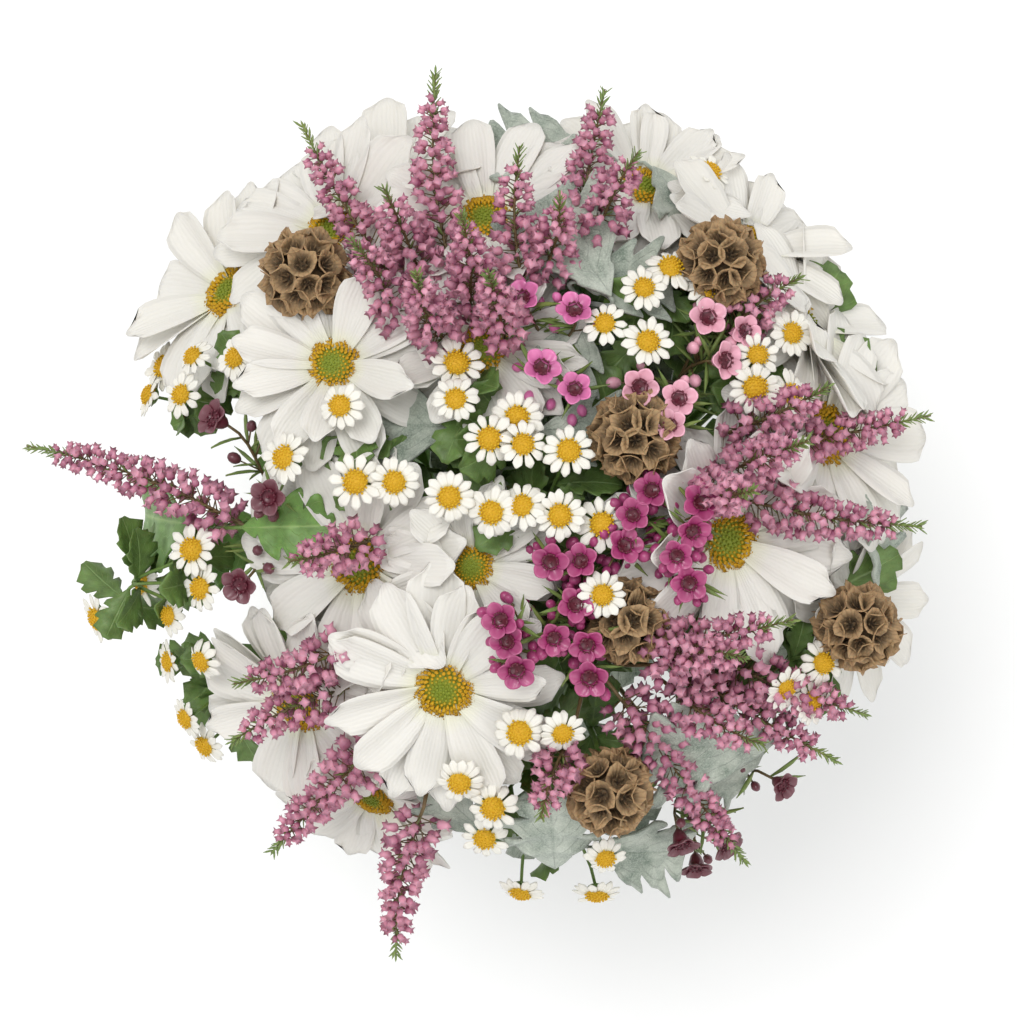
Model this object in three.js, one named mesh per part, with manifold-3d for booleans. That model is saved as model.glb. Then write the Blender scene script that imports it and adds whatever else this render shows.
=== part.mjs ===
// A hand-tied bouquet of white daisy chrysanthemums, heather, feverfew, waxflower, starflower pods and
// dusty miller. The stems are laid in a spiral and tied at one place, so that below the tie they splay
// into a round foot, cut level, and above it they open into a dome of heads.
// Millimetres, +Z up, cut ends on z = 0. Each cut sprig is one named mesh, and so is the twine.
import * as THREE from "three";
import { mergeVertices } from "three/addons/utils/BufferGeometryUtils.js";
import Module from "manifold-3d";

const wasm = await Module();
wasm.setup();

// ---------------------------------------------------------------- driving dimensions

const TIE_HEIGHT = 118; // where the stems are tied
const STRAIGHT = 10; // how far above the tie the stems stay straight
const SPIRAL = 0.027; // how fast the bundle opens away from the tie, per millimetre
const STEM_PITCH = 4.9; // distance between neighbouring stems at the tie
const DOME = { middle: 235, radius: 138, rise: 95 }; // the surface on which the heads sit
const CROWN = 300; // height by which the stems have spread fully
const SPREAD_POWER = 1.5; // how late the stems begin to spread
const GAP = 0.35; // air kept between neighbouring sprigs
const STEM_SIDES = 5;
const THIN_STEM_SIDES = 4;
const BRANCH_SIDES = 3;
const STEM_STEPS = 3; // straight lengths between the tie and the neck
const NECK_STEPS = 3; // straight lengths in a neck
const BRANCH_STEPS = 2; // and in a branch
const CUTTER_SIDES = 4; // sides of the room cut for a passing stem
const PETAL_SHARE = 0.86; // how far the solid part of a head reaches towards its petal tips
const TRIM = 6; // length left below the cut before the stems are cut level
const BINDING = { height: 18, thickness: 3, bevel: 1, sides: 28 }; // the band of twine

// For each kind: the radii of its stem and branches, how far below its heads its stem forks or bends
// (neck), how far its heads sit below the dome (sink), and the size of the head itself. eye is a flat's
// share of the head's radius.
const CHRYSANTHEMUM = { stem: 2.0, neck: 40, sink: 12, eye: 0.235, crown: 3, back: 9, cup: 18, sides: 9 };
const FEVERFEW = { stem: 1.1, branch: 0.7, neck: 42, sink: -6, radius: 7.4, eye: 0.55, sides: 6 };
const WAXFLOWER = { stem: 1.1, branch: 0.7, neck: 40, sink: -4, radius: 5.6, eye: 0.42, sides: 5 };
const POD = { stem: 1.2, neck: 40, sink: 0, radius: 14, eye: 0.36, sides: 7 };
const HEATHER = { stem: 1.1, branch: 0.8, neck: 36, base: 8, tip: 12, width: 7.5, end: 0.0125, sides: 5 };
const LEAF = { stem: 1.5, branch: 1, neck: 34, sink: 8, thickness: 1.2, boss: 0.1, width: 0.26, share: 0.64 };
const POD_SHAPE = { pole: 0.92, belt: 0.9, shoulder: 0.4, foot: 0.8 }; // shares of the pod's radius
const SPIKE_SHAPE = { slim: 0.16, swell: 0.2, hold: 3 }; // width and place of a spike's widest part
const EYE_DEPTH = 0.6; // share of a head's back that its eye reaches down
const CUP_GROWTH = 1.5; // the sloping side of a head grows this much faster than its rim
const LEAF_OUTLINE = [[0.12, -1], [0.9, -0.45], [0.6, -0.05], [1, 0.35]]; // half of a lobed blade
const LEAF_GRIP = 0.1; // how far inside its middle a blade is held, as a share of its length
const LEAF_BOSS_SIDES = 6;
const SPRAY_LEAN = 0.85; // small heads lean a little less than the dome under them
const DOME_RIM = 0.95; // beyond this share of the dome's radius its slope grows no more
const NECK_LEAD = { axis: 0.62, up: 0.55 }; // a neck starts between upright and its head's axis
const BRANCH_OVERLAP = 1.5; // how far a branch reaches back into its stem

// ---------------------------------------------------------------- what is in the bunch
// x and y are a head's place seen from above, radius its reach, lean its tilt outwards from upright in
// degrees, and drop how far it sits below its kind's usual level on the dome.

const CHRYSANTHEMUMS = [
  { x: -67, y: 46, radius: 37, lean: 18, drop: -4 },
  { x: -21, y: -21, radius: 32, lean: 8, drop: 2 },
  { x: -30, y: -61, radius: 43, lean: 28, drop: -2 },
  { x: -58, y: -20, radius: 44, lean: 30, drop: 6 },
  { x: 63, y: -12, radius: 44, lean: 26, drop: 2 },
  { x: -69, y: 92, radius: 43, lean: 40, drop: 4 },
  { x: -17, y: 95, radius: 40, lean: 38, drop: 4 },
  { x: -17, y: 51, radius: 36, lean: 12, drop: 6 },
  { x: -106, y: 73, radius: 42, lean: 50, drop: 8 },
  { x: -80, y: -68, radius: 41, lean: 44, drop: 12 },
  { x: -56, y: -101, radius: 37, lean: 56, drop: 26 },
  { x: 38, y: 107, radius: 40, lean: 46, drop: 9 },
  { x: 72, y: 87, radius: 39, lean: 48, drop: 6 },
  { x: 92, y: 60, radius: 40, lean: 60, drop: 6 },
  { x: 98, y: 23, radius: 44, lean: 46, drop: 8 },
  { x: 108, y: -34, radius: 38, lean: 56, drop: 16 },
  { x: -51, y: 108, radius: 38, lean: 54, drop: 14 },
];

// Each spike runs from its lowest bells, at base, to its green tip; lift raises the tip off the dome.
const HEATHERS = [
  [{ base: [-96, -9], tip: [-178, 20], lift: 8 }],
  [
    { base: [-42, 68], tip: [-80, 130], lift: 30 },
    { base: [-46, 60], tip: [-60, 86], lift: 26 },
    { base: [-38, 74], tip: [-50, 104], lift: 28 },
  ],
  [
    { base: [-26, 70], tip: [-34, 148], lift: 34 },
    { base: [-30, 54], tip: [-38, 74], lift: 32 },
    { base: [-22, 64], tip: [-24, 94], lift: 32 },
  ],
  [
    { base: [-3, 68], tip: [-5, 118], lift: 28 },
    { base: [-10, 54], tip: [-15, 74], lift: 32 },
    { base: [2, 76], tip: [8, 100], lift: 24 },
  ],
  [
    { base: [14, 88], tip: [24, 142], lift: 32 },
    { base: [20, 88], tip: [34, 116], lift: 30 },
  ],
  [
    { base: [58, 16], tip: [136, 30], lift: 30 },
    { base: [66, 24], tip: [96, 38], lift: 26 },
    { base: [62, 10], tip: [88, 20], lift: 32 },
  ],
  [
    { base: [66, 2], tip: [130, -8], lift: 26 },
    { base: [54, 6], tip: [70, 4], lift: 34 },
  ],
  [
    { base: [32, -48], tip: [84, -38], lift: 24 },
    { base: [40, -54], tip: [68, -50], lift: 26 },
  ],
  [
    { base: [44, -52], tip: [104, -89], lift: 18 },
    { base: [64, -54], tip: [113, -72], lift: 18 },
    { base: [46, -62], tip: [76, -80], lift: 22 },
  ],
  [
    { base: [26, -62], tip: [73, -125], lift: 18 },
    { base: [12, -78], tip: [2, -104], lift: 18 },
  ],
  [{ base: [-54, -82], tip: [-92, -122], lift: 12 }],
  [{ base: [-38, -104], tip: [-49, -160], lift: -2 }],
  [
    { base: [-62, -62], tip: [-103, -81], lift: 20 },
    { base: [-62, -48], tip: [-100, -60], lift: 22 },
    { base: [-54, -12], tip: [-80, -19], lift: 22 },
  ],
  [{ base: [64, 56], tip: [88, 75], lift: 16 }],
];

// Feverfew: [x, y] of each small head, with an optional drop.
const FEVERFEWS = [
  [[-26, 34], [-15, 21], [-4, 19], [-26, 46, 6], [-6, 28, 4]],
  [[-28, 2], [-14, -3], [-4, -1], [8, -4], [11, 17], [22, -30], [22, -7, 4]],
  [[-64, 32, -4], [-83, 15], [-59, 7], [-46, 7]],
  [[-101, 49], [-117, 50], [-121, 37], [-131, 48], [-136, 38]],
  [[-116, -16], [-113, -29], [-126, -39], [-138, -28], [-156, -41, 14]],
  [[-114, -54], [-129, -56], [-123, -76], [-117, -86, 8]],
  [[-25, -93], [-14, -102], [-17, -114, 6], [-5, -76], [9, -76], [24, -121], [22, -139, 10], [-5, -138, 8]],
  [[37, 53], [23, 59], [45, 78], [36, 71], [58, 71], [60, 114, 4]],
  [[86, 57], [74, 49], [85, 36], [73, 38]],
  [[84, -62], [93, -67], [97, -54]],
];

// Waxflower, in the same way.
const WAXFLOWERS = [
  [[13, 63], [-4, 67], [2, 44], [13, 37]],
  [[34, 38], [47, 34], [44, 25, -4], [57, 61], [62, 47], [69, 57]],
  [[5, -19], [15, -19], [6, -44], [17, -46], [-9, -45, -7], [-6, -54, -7], [-11, -38, -7], [18, -57], [13, -33]],
  [[51, -9, -8], [50, -26, -8], [46, -17, -8], [54, 0, -8], [38, 4], [32, -4], [29, -14]],
  [[-107, 28], [-98, -27], [-88, 2]],
  [[57, -128, 8], [66, -118, 6], [50, -116, 6], [84, -96]],
];

const PODS = [
  { x: -77, y: 77, lean: 34, drop: -12 },
  { x: 62, y: 80, lean: 36, drop: -10 },
  { x: 33, y: 22, lean: 14, drop: 0 },
  { x: 109, y: -42, lean: 56, drop: -8 },
  { x: 25, y: -97, lean: 44, drop: -4 },
  { x: 30, y: -39, lean: 14, drop: 6 },
];

// Leaves: [x, y, length, lean, drop] of each blade's middle.
const DUSTY_MILLERS = [
  [[13, 86, 46, 24, -8], [30, 74, 34, 20, -4], [12, 50, 30, 12, 6]],
  [[2, 122, 38, 36, -2], [50, 102, 36, 46, 4]],
  [[-42, 26, 38, 14, 8], [16, 24, 30, 10, 4], [43, 10, 30, 14, 8]],
  [[60, -82, 48, 42, -2], [64, -94, 34, 50, 8], [118, -14, 34, 60, 2]],
  [[6, -114, 40, 56, 0], [36, -121, 38, 36, 4], [-24, -106, 30, 50, 6]],
];
const GREEN_LEAVES = [[[-133, -6, 56, 50, 8], [-84, -8, 34, 30, -2]]];

// ---------------------------------------------------------------- places and directions

const UP = new THREE.Vector3(0, 0, 1);
const vec = (x, y, z) => new THREE.Vector3(x, y, z);

function onDome(x, y, sink) {
  const across = Math.min(1, Math.hypot(x, y) / DOME.radius);
  return vec(x, y, DOME.middle + DOME.rise * Math.sqrt(1 - across * across) - sink);
}

// The tilt of the dome's own surface at a place, in degrees from level.
function domeLean(x, y) {
  const reach = Math.min(Math.hypot(x, y), DOME.radius * DOME_RIM);
  const height = DOME.rise * Math.sqrt(1 - (reach / DOME.radius) ** 2);
  return THREE.MathUtils.radToDeg(Math.atan2(reach / DOME.radius ** 2, height / DOME.rise ** 2));
}

function outwards(x, y, lean) {
  const bearing = Math.atan2(y, x);
  const tilt = THREE.MathUtils.degToRad(lean);
  return vec(Math.sin(tilt) * Math.cos(bearing), Math.sin(tilt) * Math.sin(bearing), Math.cos(tilt));
}

function meanOf(points) {
  return points.reduce((sum, p) => sum.add(p), vec(0, 0, 0)).divideScalar(points.length);
}

// A matrix that stands a shape drawn along +Z on a point, facing axis, with its +Y towards along.
function standing(point, axis, along = UP) {
  const z = axis.clone().normalize();
  const y = along.clone().addScaledVector(z, -along.dot(z));
  if (y.length() < 1e-3) y.set(0, 1, 0).addScaledVector(z, -z.y);
  y.normalize();
  return new THREE.Matrix4().makeBasis(y.clone().cross(z), y, z).setPosition(point);
}

// ---------------------------------------------------------------- solids

function solidOf(geometry) {
  const bare = geometry.index ? geometry.toNonIndexed() : geometry.clone();
  bare.deleteAttribute("normal");
  bare.deleteAttribute("uv");
  const merged = mergeVertices(bare, 1e-4);
  const corners = merged.index.array;
  const triangles = [];
  for (let i = 0; i < corners.length; i += 3) {
    const [a, b, c] = corners.slice(i, i + 3);
    if (a !== b && b !== c && c !== a) triangles.push(a, b, c);
  }
  return new wasm.Manifold(
    new wasm.Mesh({
      numProp: 3,
      vertProperties: merged.attributes.position.array,
      triVerts: new Uint32Array(triangles),
    }),
  );
}

function lathe(profile, sides, matrix) {
  const points = profile.map(([radius, height]) => new THREE.Vector2(radius, height));
  const turned = new THREE.LatheGeometry(points, sides).rotateX(Math.PI / 2);
  return solidOf(turned.applyMatrix4(matrix));
}

// A path of straight lengths, in which every length counts as one step of an extrusion.
class Lengths extends THREE.Curve {
  constructor(points) {
    super();
    this.points = points;
  }
  getPoint(t) {
    const last = this.points.length - 1;
    const at = Math.min(Math.floor(t * last), last - 1);
    return this.points[at].clone().lerp(this.points[at + 1], t * last - at);
  }
  getUtoTmapping(u) {
    return u;
  }
}

function rod(points, radius, sides) {
  const corners = Array.from({ length: sides }, (_, i) => {
    const turn = (2 * Math.PI * i) / sides;
    return new THREE.Vector2(radius * Math.cos(turn), radius * Math.sin(turn));
  });
  const options = { steps: points.length - 1, bevelEnabled: false, extrudePath: new Lengths(points) };
  return solidOf(new THREE.ExtrudeGeometry(new THREE.Shape(corners), options));
}

// An open flower: a shallow cone of petals with a flat round eye. grow makes it larger all round.
function daisy({ point, axis, radius, eye, crown, back, cup, sides }, grow) {
  const rise = THREE.MathUtils.degToRad(cup);
  const reach = radius * PETAL_SHARE + CUP_GROWTH * grow;
  const profile = [
    [0, -back - grow],
    [reach * Math.cos(rise), reach * Math.sin(rise)],
    [radius * eye + grow, crown + grow],
    [0, crown + grow],
  ];
  return lathe(profile, sides, standing(point, axis));
}

function eyeOf({ point, axis, radius, eye, crown, back, sides }, grow) {
  const wide = radius * eye + grow;
  const foot = -back * EYE_DEPTH - grow;
  const profile = [[0, foot], [wide, -grow], [wide, crown + grow], [0, crown + grow]];
  return lathe(profile, sides, standing(point, axis));
}

function seedPod({ point, axis, radius, eye, sides }, grow) {
  const { pole, belt, shoulder } = POD_SHAPE;
  const whole = radius + grow;
  const profile = [
    [0, -pole * whole],
    [belt * whole, -shoulder * whole],
    [belt * whole, shoulder * whole],
    [radius * eye, pole * whole],
    [0, pole * whole],
  ];
  return lathe(profile, sides, standing(point, axis));
}

// A spike of bells: widest a fifth of the way up and drawn out to a blunt tip.
function spindle({ base, tip, sides, width, end }, grow) {
  const axis = tip.clone().sub(base);
  const length = axis.length();
  const wide = Math.min(width, length * SPIKE_SHAPE.slim) + grow;
  const profile = [
    [0, -grow],
    [wide, length * SPIKE_SHAPE.swell],
    [length * end + grow, length + grow],
    [0, length + grow],
  ];
  return lathe(profile, sides, standing(base, axis));
}

// A lobed blade lying flat about its middle, its tip towards along.
function blade({ point, axis, along, length, width, thickness, share }, grow) {
  const half = (length * share) / 2 + grow;
  const side = length * width + grow;
  const right = LEAF_OUTLINE.map(([x, y]) => new THREE.Vector2(x * side, y * half));
  const left = right.map((p) => new THREE.Vector2(-p.x, p.y)).reverse();
  const shape = new THREE.Shape([...right, new THREE.Vector2(0, half), ...left]);
  const depth = thickness + 2 * grow;
  const plate = new THREE.ExtrudeGeometry(shape, { depth, bevelEnabled: false });
  return solidOf(plate.translate(0, 0, -depth / 2).applyMatrix4(standing(point, axis, along)));
}

function boss({ point, axis, along, length, thickness, boss: ratio }, grow) {
  const wide = length * ratio + grow;
  const face = thickness + grow;
  const profile = [[0, -thickness], [wide, -face], [wide, face], [0, face]];
  return lathe(profile, LEAF_BOSS_SIDES, standing(point, axis, along));
}

// ---------------------------------------------------------------- sprigs
// A sprig has a neck, where its stem stops rising with the bunch, and ends: each end is a place that a
// stem or branch reaches, the direction in which it arrives, and the solids that it carries there.
// level says who gives way where two sprigs meet: the higher level is cut back from the lower.

const LEVEL = { pod: 1, small: 2, spike: 3, petals: 4, leaf: 5 };

function neckBelow(points, axes, reach) {
  const lead = meanOf(axes).multiplyScalar(NECK_LEAD.axis).addScaledVector(UP, NECK_LEAD.up).normalize();
  return meanOf(points).addScaledVector(lead, -reach);
}

function flowerEnd(head, level) {
  return {
    point: head.point.clone().addScaledVector(head.axis, -head.back * 0.5),
    axis: head.axis,
    eye: head,
    solids: [
      { level: 0, spare: true, make: (grow) => eyeOf(head, grow) },
      { level, make: (grow) => daisy(head, grow) },
    ],
  };
}

function chrysanthemum({ x, y, radius, lean, drop }) {
  const head = { ...CHRYSANTHEMUM, radius };
  head.point = onDome(x, y, CHRYSANTHEMUM.sink + drop);
  head.axis = outwards(x, y, lean);
  const neck = neckBelow([head.point], [head.axis], CHRYSANTHEMUM.neck);
  return { kind: CHRYSANTHEMUM, neck, ends: [flowerEnd(head, LEVEL.petals)] };
}

function spray(kind, places, shape) {
  const heads = places.map(([x, y, drop = 0]) => {
    const head = { ...kind, ...shape };
    head.point = onDome(x, y, kind.sink + drop);
    head.axis = outwards(x, y, domeLean(x, y) * SPRAY_LEAN);
    return head;
  });
  const neck = neckBelow(heads.map((h) => h.point), heads.map((h) => h.axis), kind.neck);
  return { kind, neck, ends: heads.map((head) => flowerEnd(head, LEVEL.small)) };
}

const feverfew = (places) => spray(FEVERFEW, places, { crown: 2.2, back: 4, cup: 0 });
const waxflower = (places) => spray(WAXFLOWER, places, { crown: 1.6, back: 4.5, cup: 14 });

function starflower({ x, y, lean, drop }) {
  const head = { ...POD };
  head.point = onDome(x, y, POD.sink + drop);
  head.axis = outwards(x, y, lean);
  const end = {
    point: head.point.clone().addScaledVector(head.axis, -POD.radius * POD_SHAPE.foot),
    axis: head.axis,
    eye: head,
    solids: [{ level: LEVEL.pod, make: (grow) => seedPod(head, grow) }],
  };
  return { kind: POD, neck: neckBelow([head.point], [head.axis], POD.neck), ends: [end] };
}

function heather(spikes) {
  const ends = spikes.map(({ base, tip, lift }) => {
    const spike = { ...HEATHER };
    spike.base = onDome(...base, HEATHER.base);
    spike.tip = onDome(...tip, -HEATHER.tip - lift);
    const axis = spike.tip.clone().sub(spike.base).normalize();
    const point = spike.base.clone().addScaledVector(axis, SPIKE_SHAPE.hold);
    return { point, axis, solids: [{ level: LEVEL.spike, make: (grow) => spindle(spike, grow) }] };
  });
  const neck = neckBelow(ends.map((e) => e.point), ends.map((e) => e.axis), HEATHER.neck);
  return { kind: HEATHER, neck, ends };
}

function leaves(blades) {
  const middles = blades.map(([x, y, , , drop]) => onDome(x, y, LEAF.sink + drop));
  const axes = blades.map(([x, y, , lean]) => outwards(x, y, lean));
  const neck = neckBelow(middles, axes, LEAF.neck);
  const ends = blades.map(([, , length], i) => {
    const leaf = { ...LEAF, length, point: middles[i], axis: axes[i] };
    leaf.along = middles[i].clone().sub(neck);
    leaf.along.addScaledVector(leaf.axis, -leaf.along.dot(leaf.axis)).normalize();
    return {
      point: leaf.point.clone().addScaledVector(leaf.along, -length * LEAF_GRIP),
      axis: leaf.along,
      eye: { ...leaf, radius: length, eye: LEAF.boss },
      solids: [
        { level: 0, make: (grow) => boss(leaf, grow) },
        { level: LEVEL.leaf, make: (grow) => blade(leaf, grow) },
      ],
    };
  });
  return { kind: LEAF, neck, ends };
}

const COLOURS = {
  chrysanthemum: [0xf2f0ea, 0.6],
  heather: [0xb8678f, 0.7],
  feverfew: [0xe9d76a, 0.6],
  waxflower: [0xc9628f, 0.5],
  starflower_pod: [0x8c6a48, 0.8],
  dusty_miller: [0x9fb0a4, 0.9],
  green_leaf: [0x55803c, 0.6],
  twine_binding: [0xa98a5c, 0.9],
};

const BUNCH = {
  chrysanthemum: CHRYSANTHEMUMS.map(chrysanthemum),
  heather: HEATHERS.map(heather),
  feverfew: FEVERFEWS.map(feverfew),
  waxflower: WAXFLOWERS.map(waxflower),
  starflower_pod: PODS.map(starflower),
  dusty_miller: DUSTY_MILLERS.map(leaves),
  green_leaf: GREEN_LEAVES.map(leaves),
};
const sprigs = Object.entries(BUNCH).flatMap(([family, list]) =>
  list.map((sprig, i) => ({ ...sprig, family, name: `${family}_${String(i + 1).padStart(2, "0")}` })),
);

// ---------------------------------------------------------------- the spiral of stems

// At every height the whole bundle is one plan, turned and widened: stems that are straight lines on a
// hyperboloid never meet.
function spiral(plan, height) {
  const turn = SPIRAL * (height - TIE_HEIGHT);
  return new THREE.Vector2(plan.x - turn * plan.y, plan.y + turn * plan.x);
}

function unspiral(place, height) {
  const turn = SPIRAL * (height - TIE_HEIGHT);
  const scale = 1 + turn * turn;
  return new THREE.Vector2((place.x + turn * place.y) / scale, (place.y - turn * place.x) / scale);
}

function spread(height) {
  const start = TIE_HEIGHT + STRAIGHT;
  return (Math.max(0, height - start) / (CROWN - start)) ** SPREAD_POWER;
}

// Places for the stems at the tie, in a close-packed round bundle.
function slots(count) {
  const found = [];
  const rows = Math.ceil(Math.sqrt(count));
  for (let row = -rows; row <= rows; row++) {
    for (let column = -rows; column <= rows; column++) {
      const place = new THREE.Vector2(column + row / 2, (row * Math.sqrt(3)) / 2);
      found.push(place.multiplyScalar(STEM_PITCH));
    }
  }
  return found.sort((a, b) => a.length() - b.length() || a.angle() - b.angle()).slice(0, count);
}

// Where each stem is to arrive, and how fast it heads there, in the plan of the tie.
for (const sprig of sprigs) {
  sprig.aim = unspiral(sprig.neck, sprig.neck.z);
  sprig.heading = sprig.aim.clone().divideScalar(spread(sprig.neck.z));
}

const places = slots(sprigs.length);
sprigs.sort((a, b) => a.heading.length() - b.heading.length());
sprigs.forEach((sprig, i) => (sprig.slot = places[i]));

// Stems trade places while that shortens the two ways to their heads: then no two ways cross.
let traded = true;
while (traded) {
  traded = false;
  for (const a of sprigs) {
    for (const b of sprigs) {
      const gain = a.slot.clone().sub(b.slot).dot(a.heading.clone().sub(b.heading));
      if (gain < -1e-6) {
        [a.slot, b.slot] = [b.slot, a.slot];
        traded = true;
      }
    }
  }
}

function stemAt(sprig, height) {
  const share = spread(height) / spread(sprig.neck.z);
  const place = spiral(sprig.slot.clone().lerp(sprig.aim, share), height);
  return vec(place.x, place.y, height);
}

function neckCurve(from, lead, end, steps) {
  const reach = from.distanceTo(end.point) / 3;
  const leave = from.clone().addScaledVector(lead, reach);
  const arrive = end.point.clone().addScaledVector(end.axis, -reach);
  return new THREE.CubicBezierCurve3(from, leave, arrive, end.point).getPoints(steps);
}

const paths = [];
for (const sprig of sprigs) {
  const start = TIE_HEIGHT + STRAIGHT;
  const rise = [stemAt(sprig, -TRIM)];
  for (let i = 0; i <= STEM_STEPS; i++) {
    rise.push(stemAt(sprig, start + ((sprig.neck.z - start) * i) / STEM_STEPS));
  }
  const lead = rise.at(-1).clone().sub(rise.at(-2)).normalize();
  const radius = sprig.kind.stem;
  const sides = sprig.kind === CHRYSANTHEMUM ? STEM_SIDES : THIN_STEM_SIDES;
  if (sprig.ends.length === 1) {
    const points = [...rise, ...neckCurve(rise.at(-1), lead, sprig.ends[0], NECK_STEPS).slice(1)];
    paths.push({ sprig, points, radius, sides, held: 2 });
    continue;
  }
  paths.push({ sprig, points: rise, radius, sides, held: 2 });
  const fork = rise.at(-1).clone().addScaledVector(lead, -BRANCH_OVERLAP);
  for (const end of sprig.ends) {
    const points = neckCurve(fork, lead, end, BRANCH_STEPS);
    paths.push({ sprig, points, radius: sprig.kind.branch, sides: BRANCH_SIDES, held: 1 });
  }
}

// ---------------------------------------------------------------- stems make way for each other

// The nearest points of two straight lengths, as shares along each.
function nearest(a, b, c, d) {
  const u = b.clone().sub(a);
  const v = d.clone().sub(c);
  const w = a.clone().sub(c);
  const uu = u.dot(u) || 1e-9;
  const vv = v.dot(v) || 1e-9;
  const uv = u.dot(v);
  const det = uu * vv - uv * uv;
  const clamp = (t) => Math.min(1, Math.max(0, t));
  let s = det > 1e-9 ? clamp((uv * v.dot(w) - vv * u.dot(w)) / det) : 0;
  const t = clamp((uv * s + v.dot(w)) / vv);
  s = clamp((uv * t - u.dot(w)) / uu);
  return [s, t];
}

const ROUNDS = 80;
const EASE = 0.04; // how strongly a bent stem straightens while it makes way
const STEM_PUSH = 0.6; // how much of a missing gap two stems make up in one round
const EYE_PUSH = 0.5; // and a stem beside an eye
const EYE_ROOM = 2; // clear width round an eye
const pieces = paths.flatMap((path) => path.points.slice(1).map((_, i) => ({ path, i })));
const free = ({ points, held }, i) => i >= held && i < points.length - 1;

function shove(path, i, share, push) {
  for (const [at, weight] of [[i, 1 - share], [i + 1, share]]) {
    if (free(path, at)) path.points[at].addScaledVector(push, weight);
  }
}

function part(one, two) {
  const [a, b] = [one.path.points[one.i], one.path.points[one.i + 1]];
  const [c, d] = [two.path.points[two.i], two.path.points[two.i + 1]];
  const room = one.path.radius + two.path.radius + 2 * GAP;
  const beyond = (axis, p, q, r, v) => Math.min(p[axis], q[axis]) - room > Math.max(r[axis], v[axis]);
  if (["x", "y", "z"].some((axis) => beyond(axis, a, b, c, d) || beyond(axis, c, d, a, b))) return;
  const [s, t] = nearest(a, b, c, d);
  const push = a.clone().lerp(b, s).sub(c.clone().lerp(d, t));
  const short = room - push.length();
  if (short <= 0) return;
  push.setLength(short * STEM_PUSH);
  shove(one.path, one.i, s, push);
  shove(two.path, two.i, t, push.negate());
}

const eyes = sprigs.flatMap((sprig) => sprig.ends.filter((e) => e.eye).map((e) => ({ sprig, ...e.eye })));
function clearEye(one, eye) {
  const [a, b] = [one.path.points[one.i], one.path.points[one.i + 1]];
  const [s] = nearest(a, b, eye.point, eye.point.clone().addScaledVector(eye.axis, 0.1));
  const push = a.clone().lerp(b, s).sub(eye.point);
  const short = eye.radius * eye.eye + one.path.radius + EYE_ROOM - push.length();
  if (short > 0) shove(one.path, one.i, s, push.setLength(short * EYE_PUSH));
}

for (let round = 0; round < ROUNDS; round++) {
  for (const path of paths) {
    if (round >= ROUNDS / 2) break;
    const { points } = path;
    const middles = points.map((p, i) => {
      return free(path, i) ? points[i - 1].clone().lerp(points[i + 1], 0.5) : p;
    });
    points.forEach((p, i) => {
      if (free(path, i) && i > path.held) p.lerp(middles[i], EASE);
    });
  }
  for (const one of pieces) {
    for (const eye of eyes) if (eye.sprig !== one.path.sprig) clearEye(one, eye);
  }
  pieces.forEach((one, i) => {
    for (const two of pieces.slice(i + 1)) if (two.path.sprig !== one.path.sprig) part(one, two);
  });
}

// ---------------------------------------------------------------- cutting back and joining

const solids = [];
for (const { sprig, points, radius, sides } of paths) {
  const room = (radius + GAP) / Math.cos(Math.PI / CUTTER_SIDES);
  const make = (grow) => (grow ? rod(points, room, CUTTER_SIDES) : rod(points, radius, sides));
  solids.push({ sprig, level: 0, make });
}
for (const sprig of sprigs) {
  for (const end of sprig.ends) for (const solid of end.solids) solids.push({ sprig, ...solid });
}
for (const solid of solids) {
  solid.plain = solid.make(0);
  solid.grown = solid.make(GAP);
  const { min, max } = solid.grown.boundingBox();
  solid.box = new THREE.Box3(vec(...min), vec(...max));
}
// Of two solids on one level the higher one keeps its shape.
solids.sort((a, b) => a.level - b.level || b.box.max.z - a.box.max.z);

function cutBack(solid, order) {
  if (solid.level === 0) return solid.plain;
  const ahead = solids.slice(0, order).filter((other) => other.sprig !== solid.sprig);
  return ahead
    .filter((other) => other.box.intersectsBox(solid.box))
    .reduce((left, other) => left.subtract(other.grown), solid.plain);
}
solids.forEach((solid, order) => (solid.cut = cutBack(solid, order)));

const SLAB = 400; // wider than the foot of the bunch
const LEAST_EYE = 0.5; // an eye is kept for its own sake if this much of it stands free
const slab = solidOf(new THREE.BoxGeometry(SLAB, SLAB, 2 * TRIM).translate(0, 0, -TRIM));

// The stem, its branches and all that is left on them, without the scraps that were cut loose.
function joined(sprig) {
  const own = solids.filter((solid) => solid.sprig === sprig);
  const needed = own.filter((solid) => !solid.spare).map((solid) => solid.cut);
  let whole = needed.reduce((sum, cut) => sum.add(cut));
  for (const { cut } of own.filter((solid) => solid.spare)) {
    if (cut.subtract(whole).volume() > LEAST_EYE) whole = whole.add(cut);
  }
  whole = whole.subtract(slab);
  return whole.decompose().sort((a, b) => a.boundingBox().min[2] - b.boundingBox().min[2])[0];
}

function geometryOf(solid) {
  const { vertProperties, triVerts } = solid.getMesh();
  const geometry = new THREE.BufferGeometry();
  geometry.setAttribute("position", new THREE.BufferAttribute(new Float32Array(vertProperties), 3));
  geometry.setIndex(new THREE.BufferAttribute(new Uint32Array(triVerts), 1));
  return geometry;
}

function meshOf(name, family, geometry) {
  const [color, roughness] = COLOURS[family];
  const mesh = new THREE.Mesh(geometry, new THREE.MeshStandardMaterial({ color, roughness, metalness: 0 }));
  mesh.name = name;
  return mesh;
}

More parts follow.
